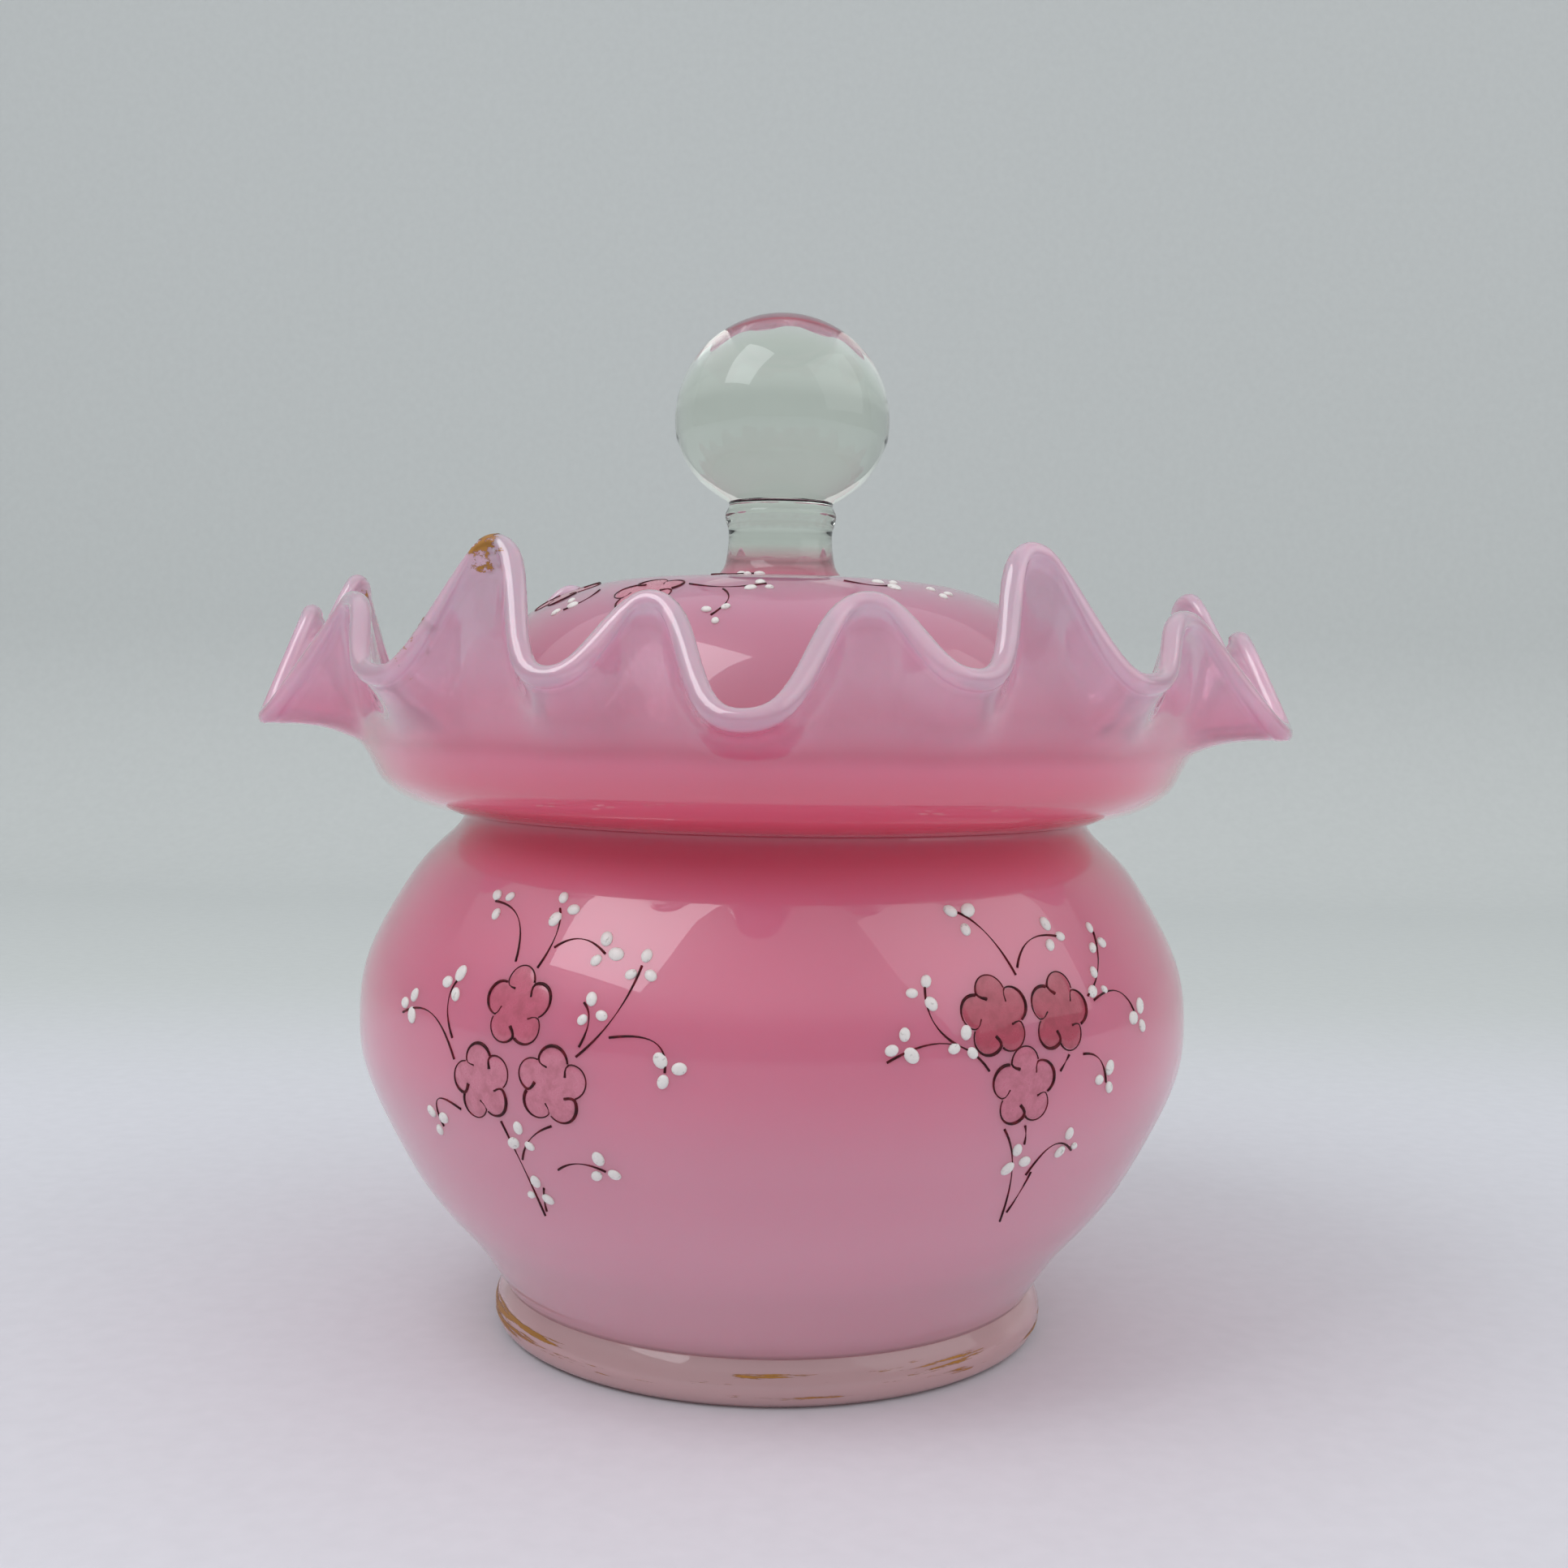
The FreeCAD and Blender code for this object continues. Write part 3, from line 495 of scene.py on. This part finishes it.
def knob_shape():
    """The knob: flared stem foot, stem, tooled ring and ball."""
    stem = [(STEM_FOOT_RADIUS, LID_TOP)]
    stem += [(STEM_RADIUS + beyond, LID_TOP + STEM_LENGTH * share) for beyond, share in STEM_SHAPE]
    side = stem + [(KNOB_RADIUS * out, KNOB_CENTRE + KNOB_RADIUS * rise) for out, rise in KNOB_TAPER]
    ball = arc((0.0, KNOB_CENTRE), KNOB_RADIUS, BALL_START, 90.0, 40)
    side.append(ball[0])
    return spun([(0.0, LID_TOP)] + rounded(side) + ball[1:-1] + [(0.0, KNOB_CENTRE + KNOB_RADIUS)])


# ------------------------------------------------------------------ gilding
def rim_gold(place):
    """How much gold is left at a place on the ruffle: most on the bead, in the listed stretches."""
    angle = math.degrees(math.atan2(place.x, -place.y))
    edge_radius, edge_height = fold_edge(angle)
    gap = math.hypot(math.hypot(place.x, place.y) - edge_radius, place.z - edge_height)
    left = max(
        amount * fade(angle, start - RIM_GOLD_BLUR, start + RIM_GOLD_BLUR)
        * fade(-angle, -end - RIM_GOLD_BLUR, RIM_GOLD_BLUR - end)
        for start, end, amount in RIM_GILDING)
    return left * fade(-gap, -RIM_GOLD_END, -RIM_GOLD_WHOLE)


def foot_gold(place):
    """How much gold is left at a place on the foot: a faint band round its outer face."""
    out = math.hypot(place.x, place.y)
    return fade(out, FOOT_RADIUS - 1.2, FOOT_RADIUS - 0.3) * fade(place.z, 0.8, 2.0)


def gilding_shape(shape, gold_at):
    """The faces of a piece where gold is left, lifted off it as a skin that carries its amount."""
    bare = [face for face in shape.faces if gold_at(face.calc_center_median()) <= 0.0]
    bmesh.ops.delete(shape, geom=bare, context="FACES")
    shape.normal_update()
    layer = shape.verts.layers.float.new("gold")
    lifted = {vert: vert.co + vert.normal * GILDING_LIFT for vert in shape.verts}
    for vert, place in lifted.items():
        vert[layer] = gold_at(vert.co)
        vert.co = place
    return shape


# ------------------------------------------------------------------ enamel
class BellySurface:
    """Where a spray's (across, up) falls on the belly."""

    def __init__(self, angle):
        self.angle = angle
        self.outline = belly_outline()

    def place(self, across, up, lift=0.0):
        """The point on the glass, and the direction away from it."""
        height = SPRAY_HEIGHT + up
        radius, slope = read_outline(self.outline, height, 1, 0)
        angle = self.angle + math.degrees(across / radius)
        normal = polar(angle, slope.x, slope.y)
        return polar(angle, radius, height) + normal * lift, normal


class LidSurface:
    """Where the lid spray's plan position falls on the dome."""

    def __init__(self):
        self.outline = lid_outline()

    def place(self, across, up, lift=0.0):
        """The point on the glass, and the direction away from it."""
        radius = math.hypot(across, up)
        height, slope = read_outline(self.outline, radius, 0, 1)
        angle = math.degrees(math.atan2(across, -up))
        normal = polar(angle, slope.x, slope.y)
        return Vector((across, up, height)) + normal * lift, normal


def bend_points(stem, steps=14):
    """Points and half widths of a stem: full at both ends, thin between."""
    start, bend, end = (Vector(point) for point in stem)
    points = []
    for step in range(steps + 1):
        share = step / steps
        rest = 1 - share
        where = rest * rest * start + 2 * rest * share * bend + share * share * end
        points.append((where, STEM_HALF_WIDTH + STEM_PRESS * abs(math.cos(math.pi * share)) ** 1.5))
    return points


def petal_middle(blossom, petal):
    """The middle of one petal, and its direction in radians."""
    across, up, turn = blossom
    angle = math.radians(turn + 360.0 / PETALS * petal)
    reach = BLOSSOM_RADIUS - PETAL_RADIUS
    return Vector((across + reach * math.cos(angle), up + reach * math.sin(angle))), angle


def petal_points(blossom, petal, steps=20):
    """Points and half widths of the brush line round one petal, hooked in at its end."""
    middle, angle = petal_middle(blossom, petal)
    seed = blossom[0] * 3.1 + petal * 1.7
    points = []
    for step in range(steps + 1):
        share = step / steps
        around = angle + math.radians(PETAL_START + PETAL_SWEEP * share)
        wander = 1.0 + 0.06 * math.sin(seed + 5.0 * share) - 0.5 * fade(share, HOOK_SHARE, 1.0)
        point = middle + Vector((math.cos(around), math.sin(around))) * PETAL_RADIUS * wander
        press = 0.5 + 0.5 * math.sin(seed * 2.3 + 3.6 * share)
        points.append((point, LINE_HALF_WIDTH + LINE_PRESS * press * press + 0.05 * fade(share, 0.8, 1.0)))
    return points


def brush_work(name, surface, strokes, body, node):
    """Brush strokes as low rounded beads of enamel on the glass."""
    curve = bpy.data.curves.new(name, "CURVE")
    curve.dimensions = "3D"
    curve.bevel_depth = MM
    curve.bevel_resolution = 2
    curve.use_fill_caps = True
    for stroke in strokes:
        line = curve.splines.new("POLY")
        line.points.add(len(stroke) - 1)
        for point, (where, half_width) in zip(line.points, stroke):
            place, normal = surface.place(where.x, where.y)
            point.co = (*(place * MM), 1.0)
            point.radius = half_width
    tube = bpy.data.objects.new(name, curve)
    mesh = bpy.data.meshes.new_from_object(tube)
    bpy.data.objects.remove(tube)
    bpy.data.curves.remove(curve)
    shape = bmesh.new()
    shape.from_mesh(mesh)
    bpy.data.meshes.remove(mesh)
    bmesh.ops.scale(shape, vec=(1 / MM, 1 / MM, 1 / MM), verts=shape.verts[:])
    bmesh.ops.remove_doubles(shape, verts=shape.verts[:], dist=MERGE_DISTANCE)
    face_outwards(shape)
    finish_piece(name, shape, body, "brown_enamel", node)


def wash_shape(surface, blossoms):
    """The tinted fill of the blossoms: five-lobed discs laid on the glass, the upper ones deeper."""
    shape = bmesh.new()
    reach = BLOSSOM_RADIUS - PETAL_RADIUS
    span = 360.0 / PETALS
    for middle_across, middle_up, blossom_turn in blossoms:
        disc = bmesh.new()
        deep = disc.verts.layers.float.new("deep")
        draw_line(disc, [(ring / WASH_RINGS, 0, 0) for ring in range(WASH_RINGS + 1)])
        spin_round(disc, WASH_STEPS)
        for vert in disc.verts:
            share = math.hypot(vert.co.x, vert.co.y)
            around = math.degrees(math.atan2(vert.co.y, vert.co.x))
            from_petal = math.radians((around + span / 2) % span - span / 2)
            aside = reach * math.sin(from_petal)
            lobe = reach * math.cos(from_petal) + math.sqrt(PETAL_RADIUS ** 2 - aside ** 2)
            turn = math.radians(around + blossom_turn)
            across = middle_across + share * lobe * math.cos(turn)
            up = middle_up + share * lobe * math.sin(turn)
            lift = WASH_THICKNESS if share < 0.99 else WASH_EDGE
            vert.co = surface.place(across, up, lift)[0]
            vert[deep] = 1.0 if middle_up > 0 else PALE_WASH
        patch = bpy.data.meshes.new("patch")
        disc.to_mesh(patch)
        disc.free()
        shape.from_mesh(patch)
        bpy.data.meshes.remove(patch)
    face_outwards(shape)
    return shape


def dots_shape(surface, threes):
    """Raised dots in threes: ovals that point away from the middle of their three."""
    shape = bmesh.new()
    for across, up, turn in threes:
        for corner in range(3):
            angle = math.radians(turn + 120.0 * corner)
            way = Vector((math.cos(angle), math.sin(angle)))
            spot = Vector((across, up)) + way * DOT_RING_RADIUS
            place, normal = surface.place(*spot)
            outward = (surface.place(*(spot + way * 0.1))[0] - place).normalized()
            size = DOT_RADIUS * (0.92 + 0.5 * noise.noise(Vector((across, up, corner * 3.7))))
            sideways = normal.cross(outward) * DOT_NARROWING * size
            axes = Matrix((outward * size, sideways, normal * DOT_HEIGHT)).transposed()
            bmesh.ops.create_uvsphere(
                shape, u_segments=20, v_segments=10, radius=1.0,
                matrix=Matrix.Translation(place) @ axes.to_4x4())
    return shape


def paint_spray(side, surface, spray, body, wash_slot):
    """One spray's wash, outlines, stems and dots."""
    prefix = side + "_spray_"
    outlines = [petal_points(blossom, petal) for blossom in spray["blossoms"] for petal in range(PETALS)]
    stems = [bend_points(stem) for stem in spray["stems"]]
    washes = wash_shape(surface, spray["blossoms"])
    finish_piece(prefix + "petal_wash", washes, body, wash_slot, prefix + "washes")
    brush_work(prefix + "petal_lines", surface, outlines, body, prefix + "outlines")
    brush_work(prefix + "stem_lines", surface, stems, body, prefix + "stems")
    dots = dots_shape(surface, spray["dots"])
    finish_piece(prefix + "raised_dots", dots, body, "white_enamel", prefix + "dots")


# ------------------------------------------------------------------ materials
def srgb(red, green, blue):
    """A colour given from 0 to 255, as linear values."""
    def linear(value):
        value /= 255.0
        return value / 12.92 if value <= 0.04045 else ((value + 0.055) / 1.055) ** 2.4
    return (linear(red), linear(green), linear(blue), 1.0)


def set_inputs(tree, node, inputs):
    """Give a node's inputs their values, or link them where a socket is given."""
    for key, value in inputs.items():
        if isinstance(value, bpy.types.NodeSocket):
            tree.links.new(value, node.inputs[key])
        else:
            node.inputs[key].default_value = value


def add(tree, kind, inputs=None, **settings):
    """Add a node, with its settings and then its inputs."""
    made = tree.nodes.new(kind)
    for key, value in settings.items():
        setattr(made, key, value)
    set_inputs(tree, made, inputs or {})
    return made


def begin(name):
    """A new material's tree, its main shader and its Object coordinates."""
    material = bpy.data.materials.new(name)
    material.use_nodes = True
    tree = material.node_tree
    tree.nodes.clear()
    shader = add(tree, "ShaderNodeBsdfPrincipled")
    add(tree, "ShaderNodeOutputMaterial", {"Surface": shader.outputs["BSDF"]})
    place = add(tree, "ShaderNodeTexCoord").outputs["Object"]
    return material, tree, shader, place


def ramp(tree, share, stops, interpolation="EASE"):
    """A colour that changes along a share from 0 to 1."""
    made = add(tree, "ShaderNodeValToRGB", {"Fac": share})
    made.color_ramp.interpolation = interpolation
    elements = made.color_ramp.elements
    while len(elements) < len(stops):
        elements.new(0.5)
    for element, (where, colour) in zip(elements, stops):
        element.position = where
    for element, (where, colour) in zip(elements, stops):
        element.color = colour
    return made.outputs["Color"]


def by_height(tree, place, low, high):
    """A share that runs from 0 to 1 between two heights in millimetres."""
    height = add(tree, "ShaderNodeSeparateXYZ", {"Vector": place}).outputs["Z"]
    return remap(tree, height, low * MM, high * MM, 0.0, 1.0)


def cloud(tree, place, scale, detail=3.0, roughness=0.5):
    """Soft uneven noise, with its scale in patches per metre."""
    return add(tree, "ShaderNodeTexNoise", {
        "Vector": place, "Scale": scale, "Detail": detail, "Roughness": roughness}).outputs["Fac"]


def blend_colours(tree, share, first, second, mode="MIX"):
    """Two colours mixed by a share. The colours are the Mix node's inputs 6 and 7."""
    mixed = add(
        tree, "ShaderNodeMix", {0: share, 6: first, 7: second}, data_type="RGBA", blend_type=mode)
    return mixed.outputs[2]


def remap(tree, value, low, high, to_low, to_high):
    """A value carried from one range to another."""
    return add(tree, "ShaderNodeMapRange", {
        "Value": value, "From Min": low, "From Max": high, "To Min": to_low, "To Max": to_high}).outputs[0]


GLASS_IOR = 1.5


def set_glass_finish(tree, shader, coat=1.0):
    """The fire-polished surface that the pink glass and the washes share."""
    set_inputs(tree, shader, {
        "IOR": GLASS_IOR, "Coat Weight": coat, "Coat Roughness": 0.015, "Coat IOR": 1.57})


def opaline(name, low, high, stops, clear_stops, roughness, thinning=0.0):
    """Milky pink glass: tinted and cleared by height, with faint clouds and a fire polish.

    Thinning adds to the height's share where the wall is drawn out towards its edge, and
    the rolled lip there is milkier than the wall under it.
    """
    material, tree, shader, place = begin(name)
    share = by_height(tree, place, low, high)
    reach = add(tree, "ShaderNodeAttribute", attribute_name="reach").outputs["Fac"]
    drawn_out = {0: reach, 1: thinning, 2: share}
    share = add(tree, "ShaderNodeMath", drawn_out, operation="MULTIPLY_ADD").outputs[0]
    lip = remap(tree, reach, 0.9, 1.0, 1.0, 0.7)
    tint = ramp(tree, share, stops)
    clouds = cloud(tree, place, 30.0, 1.0)
    clear = ramp(tree, share, clear_stops)
    clear = add(tree, "ShaderNodeMath", {0: clear, 1: lip}, operation="MULTIPLY").outputs[0]
    set_inputs(tree, shader, {
        "Base Color": blend_colours(tree, clouds, tint, (0.93, 0.86, 0.90, 1.0), "MULTIPLY"),
        "Roughness": remap(tree, clouds, 0.0, 1.0, roughness, roughness + 0.05),
        "Transmission Weight": clear,
        "Subsurface Weight": 0.5,
        "Subsurface Radius": (1.0, 0.42, 0.55),
        "Subsurface Scale": 0.011,
    })
    set_glass_finish(tree, shader)
    return material


def grey(value):
    """A neutral value as a colour."""
    return (value, value, value, 1.0)


def make_pink_glass():
    """The belly's glass: palest near the foot, deep rose under the neck, with the top stop brightened as
    painted light that lifts the collar's shade.
    """
    # the top stop's brighter red is painted light, lifting the shade that the collar casts on the neck
    stops = (
        (0.0, srgb(246, 176, 190)), (0.24, srgb(247, 164, 184)), (0.40, srgb(244, 154, 176)),
        (0.62, srgb(234, 124, 152)), (0.87, srgb(234, 118, 148)), (1.0, srgb(255, 116, 140)),
    )
    return opaline("pink opaline glass", FOOT_HEIGHT, NECK_HEIGHT, stops,
                   ((0.0, grey(0.10)), (1.0, grey(0.03))), 0.32)


def make_ruffle_glass():
    """The collar's and ruffle's glass: rose at the neck, thinning to clear lilac at the edge."""
    stops = (
        (0.0, srgb(238, 100, 124)), (0.10, srgb(232, 108, 134)), (0.28, srgb(236, 128, 158)),
        (0.50, srgb(255, 184, 206)), (0.75, srgb(255, 208, 226)), (1.0, srgb(255, 214, 232)),
    )
    clearness = (
        (0.0, grey(0.04)), (0.22, grey(0.08)), (0.34, grey(0.36)), (0.52, grey(0.56)), (1.0, grey(0.66)),
    )
    return opaline("lilac ruffle glass", NECK_HEIGHT, NECK_HEIGHT + 36.0, stops, clearness, 0.0, 0.22)


def make_lid_glass():
    """The lid's glass."""
    stops = ((0.0, srgb(212, 100, 128)), (0.6, srgb(208, 122, 150)), (1.0, srgb(210, 136, 166)))
    return opaline("pink lid glass", SEAT_HEIGHT, LID_TOP, stops,
                   ((0.0, grey(0.05)), (1.0, grey(0.10))), 0.32)


def clear_glass(name, tint, milk, streak_scale, painted_glow_height=0.0):
    """Clear glass with a faint tint, a share of milkiness and drawn-out ripples.

    The last argument is the height above the lid, in millimetres, up to which the lid's pink is painted
    into the glass, made milky there: a painted glow of the lid seen through the stem, which also lifts its
    shade.
    """
    material, tree, shader, place = begin(name)
    streaks = cloud(tree, place, streak_scale, 2.0)
    colour = blend_colours(tree, streaks, tint, (0.96, 0.94, 0.94, 1.0), "MULTIPLY")
    clearness = 1.0 - milk
    if painted_glow_height:
        # painted glow: the lid's pink seen through the stem, painted into the glass near its foot
        above = by_height(tree, place, LID_TOP, LID_TOP + painted_glow_height)
        colour = blend_colours(tree, above, srgb(232, 128, 156), colour)
        clearness = remap(tree, above, 0.0, 1.0, 0.3, 1.0 - milk)
    ripples = add(tree, "ShaderNodeBump", {"Strength": 0.08, "Distance": 0.0004, "Height": streaks})
    set_inputs(tree, shader, {
        "Base Color": colour,
        "Roughness": 0.0,
        "IOR": GLASS_IOR,
        "Transmission Weight": clearness,
        "Normal": ripples.outputs["Normal"],
    })
    return material


def make_brown_enamel():
    """Brown outline enamel, a little uneven where the brush ran dry."""
    material, tree, shader, place = begin("brown enamel")
    patches = cloud(tree, place, 900.0)
    dry = remap(tree, patches, 0.45, 0.75, 0.0, 1.0)
    set_inputs(tree, shader, {
        "Base Color": blend_colours(tree, dry, srgb(52, 4, 12), srgb(118, 24, 38)),
        "Roughness": remap(tree, patches, 0.2, 0.8, 0.32, 0.5),
        "Specular IOR Level": 0.2,
    })
    return material


def make_white_enamel():
    """Raised white enamel, fired glossy with a few grey pinpricks."""
    material, tree, shader, place = begin("white enamel")
    specks = cloud(tree, place, 1600.0, 2.0)
    pinpricks = remap(tree, specks, 0.62, 0.72, 0.0, 0.6)
    set_inputs(tree, shader, {
        "Base Color": blend_colours(tree, pinpricks, srgb(242, 236, 232), srgb(170, 164, 158)),
        "Subsurface Weight": 0.2,
        "Subsurface Radius": (1.0, 0.8, 0.8),
        "Subsurface Scale": 0.001,
        "Roughness": remap(tree, specks, 0.3, 0.7, 0.22, 0.4),
    })
    return material


def make_wash(name, pale, deep):
    """A thin petal wash: deep on some blossoms, close to the glass on others, mottled on all."""
    material, tree, shader, place = begin(name)
    depth = add(tree, "ShaderNodeAttribute", attribute_name="deep").outputs["Fac"]
    tone = blend_colours(tree, depth, pale, deep)
    pools = cloud(tree, place, 700.0, 4.0, 0.65)
    pooled = remap(tree, pools, 0.42, 0.66, 0.0, 0.7)
    set_inputs(tree, shader, {
        "Base Color": blend_colours(tree, pooled, tone, (0.72, 0.62, 0.62, 1.0), "MULTIPLY"),
        "Roughness": remap(tree, pools, 0.3, 0.7, 0.2, 0.45),
    })
    set_glass_finish(tree, shader, coat=0.5)
    return material


def make_gilding(name, stretch, scale, bare, covered):
    """Fired gold rubbed away to traces: noise shows it only where enough gold is left.

    Bare and covered are how high the noise has to be for gold to show, with none left and all.
    """
    material, tree, shader, place = begin(name)
    drawn = add(tree, "ShaderNodeMapping", {"Vector": place, "Scale": stretch}).outputs["Vector"]
    scuffs = cloud(tree, drawn, scale, 6.0, 0.68)
    gold = add(tree, "ShaderNodeAttribute", attribute_name="gold").outputs["Fac"]
    needed = remap(tree, gold, 0.0, 1.0, bare, covered)
    spare = add(tree, "ShaderNodeMath", {0: scuffs, 1: needed}, operation="SUBTRACT").outputs[0]
    set_inputs(tree, shader, {
        "Base Color": blend_colours(tree, scuffs, srgb(140, 84, 36), srgb(214, 160, 84)),
        "Metallic": 0.7,
        "Roughness": remap(tree, scuffs, 0.3, 0.7, 0.25, 0.5),
        "Alpha": remap(tree, spare, 0.0, 0.04, 0.0, 1.0),
    })
    return material


MATERIALS = {
    "pink_glass": make_pink_glass(),
    "ruffle_glass": make_ruffle_glass(),
    "lid_glass": make_lid_glass(),
    # the foot's pink tint is a painted glow of the pink belly seen through the clear ring, lifting its
    # shade
    "clear_glass": clear_glass("clear foot glass", srgb(255, 214, 216), 0.56, 60.0),
    # the knob's last argument is the height of its painted pink glow above the lid
    "knob_glass": clear_glass("clear knob glass", srgb(236, 244, 234), 0.0, 90.0, 4.5),
    "brown_enamel": make_brown_enamel(),
    "white_enamel": make_white_enamel(),
    "mauve_enamel": make_wash("mauve petal wash", srgb(212, 126, 148), srgb(204, 100, 124)),
    "rose_enamel": make_wash("rose petal wash", srgb(212, 122, 146), srgb(184, 72, 94)),
    "gilding": make_gilding("worn rim gilding", (1.0, 1.0, 1.6), 260.0, 0.80, 0.42),
    "foot_gilding": make_gilding("worn foot gilding", (1.0, 1.0, 22.0), 45.0, 0.85, 0.54),
}


# ------------------------------------------------------------------ the jar
finish_piece("glass_bowl", bowl_shape(), "jar", "pink_glass", "bowl")
finish_piece("glass_ruffle", collar_shape(), "jar", "ruffle_glass", "ruffled_collar")
finish_piece("glass_foot", foot_shape(), "jar", "clear_glass", "foot_ring")
finish_piece("glass_lid", lid_shape(), "lid", "lid_glass", "lid_dome")
finish_piece("glass_knob", knob_shape(), "lid", "knob_glass", "knob")
finish_piece("gilded_rim", gilding_shape(collar_shape(), rim_gold), "jar", "gilding", "rim_gilding")
finish_piece("gilded_foot", gilding_shape(foot_shape(), foot_gold), "jar", "gilding", "foot_gilding",
             material=MATERIALS["foot_gilding"])
for side, spray in BELLY_SPRAYS.items():
    wash_slot = "rose_enamel" if side == "right" else "mauve_enamel"
    paint_spray(side, BellySurface(spray["angle"]), spray, "jar", wash_slot)
paint_spray("lid", LidSurface(), LID_SPRAY, "lid", "mauve_enamel")


# ------------------------------------------------------------------ studio
def make_stage_material():
    """A matt surface: pale under the jar, greyer further back."""
    material, tree, shader, place = begin("pale stage")
    depth = add(tree, "ShaderNodeSeparateXYZ", {"Vector": place}).outputs["Y"]
    share = remap(tree, depth, 0.10, 0.30, 0.0, 1.0)
    tone = ramp(tree, share, ((0.0, srgb(224, 225, 231)), (1.0, srgb(212, 216, 215))))
    grain = cloud(tree, place, 300.0, 2.0)
    mottle = remap(tree, grain, 0.3, 0.7, 0.0, 0.08)
    set_inputs(tree, shader, {
        "Base Color": blend_colours(tree, mottle, tone, grey(0.6), "MULTIPLY"),
        "Roughness": 0.7,
    })
    return material


def make_stage():
    """A pale floor that sweeps up into a backdrop well behind the jar."""
    floor_half = 1.8
    back = 0.62
    rise = 0.9
    sweep = 0.12
    front = -2.8
    outline = [(front, 0.0), (back - sweep, 0.0)]
    for step in range(1, 13):
        turn = math.radians(90.0 * step / 12)
        outline.append((back - sweep + sweep * math.sin(turn), sweep - sweep * math.cos(turn)))
    outline.append((back, rise))
    shape = bmesh.new()
    edges = draw_line(shape, [(-floor_half, along, height) for along, height in outline])
    pulled = bmesh.ops.extrude_edge_only(shape, edges=edges)
    moved = [item for item in pulled["geom"] if isinstance(item, bmesh.types.BMVert)]
    bmesh.ops.translate(shape, verts=moved, vec=(2 * floor_half, 0, 0))
    stage = make_object("stage", shape, make_stage_material())


def make_lamp(name, place, target, width, height, power, colour=(1.0, 1.0, 1.0)):
    """A soft box light that faces a target."""
    data = bpy.data.lights.new(name, "AREA")
    data.shape = "RECTANGLE"
    data.size = width
    data.size_y = height
    data.energy = power
    data.color = colour
    lamp = bpy.data.objects.new(name, data)
    lamp.location = place
    lamp.rotation_mode = "QUATERNION"
    lamp.rotation_quaternion = (Vector(place) - Vector(target)).to_track_quat("Z", "Y")
    bpy.context.scene.collection.objects.link(lamp)


def make_world():
    """Soft room light: pale overhead, dimmer at eye level."""
    world = bpy.data.worlds.new("soft room")
    world.use_nodes = True
    tree = world.node_tree
    tree.nodes.clear()
    way = add(tree, "ShaderNodeTexCoord").outputs["Generated"]
    height = add(tree, "ShaderNodeSeparateXYZ", {"Vector": way}).outputs["Z"]
    share = remap(tree, height, 0.25, 0.65, 0.0, 1.0)
    colour = ramp(tree, share, ((0.0, grey(0.29)), (1.0, (0.80, 0.82, 0.84, 1.0))))
    light = add(tree, "ShaderNodeBackground", {"Color": colour, "Strength": 1.0})
    add(tree, "ShaderNodeOutputWorld", {"Surface": light.outputs["Background"]})
    bpy.context.scene.world = world


def make_camera():
    """The camera: level, a little above the ruffle, with the jar leaning a degree in the frame."""
    data = bpy.data.cameras.new("camera")
    data.sensor_width = 36.0
    data.lens = 41.9
    data.shift_y = -0.060
    camera = bpy.data.objects.new("camera", data)
    level = Matrix.Rotation(math.radians(90.0), 4, "X")
    roll = Matrix.Rotation(math.radians(0.98), 4, "Z")
    camera.matrix_world = Matrix.Translation((0.0009, -0.264, 0.0892)) @ level @ roll
    bpy.context.scene.collection.objects.link(camera)
    bpy.context.scene.camera = camera


make_stage()
make_lamp("window", (-0.44, -0.32, 0.78), (0.0, 0.0, 0.06), 0.45, 0.62, 2.3, (0.96, 0.98, 1.0))
make_lamp("fill", (0.95, -0.30, 0.75), (0.0, 0.1, 0.06), 1.1, 1.1, 2.5)
make_world()
make_camera()
bpy.context.scene.view_settings.view_transform = "Standard"
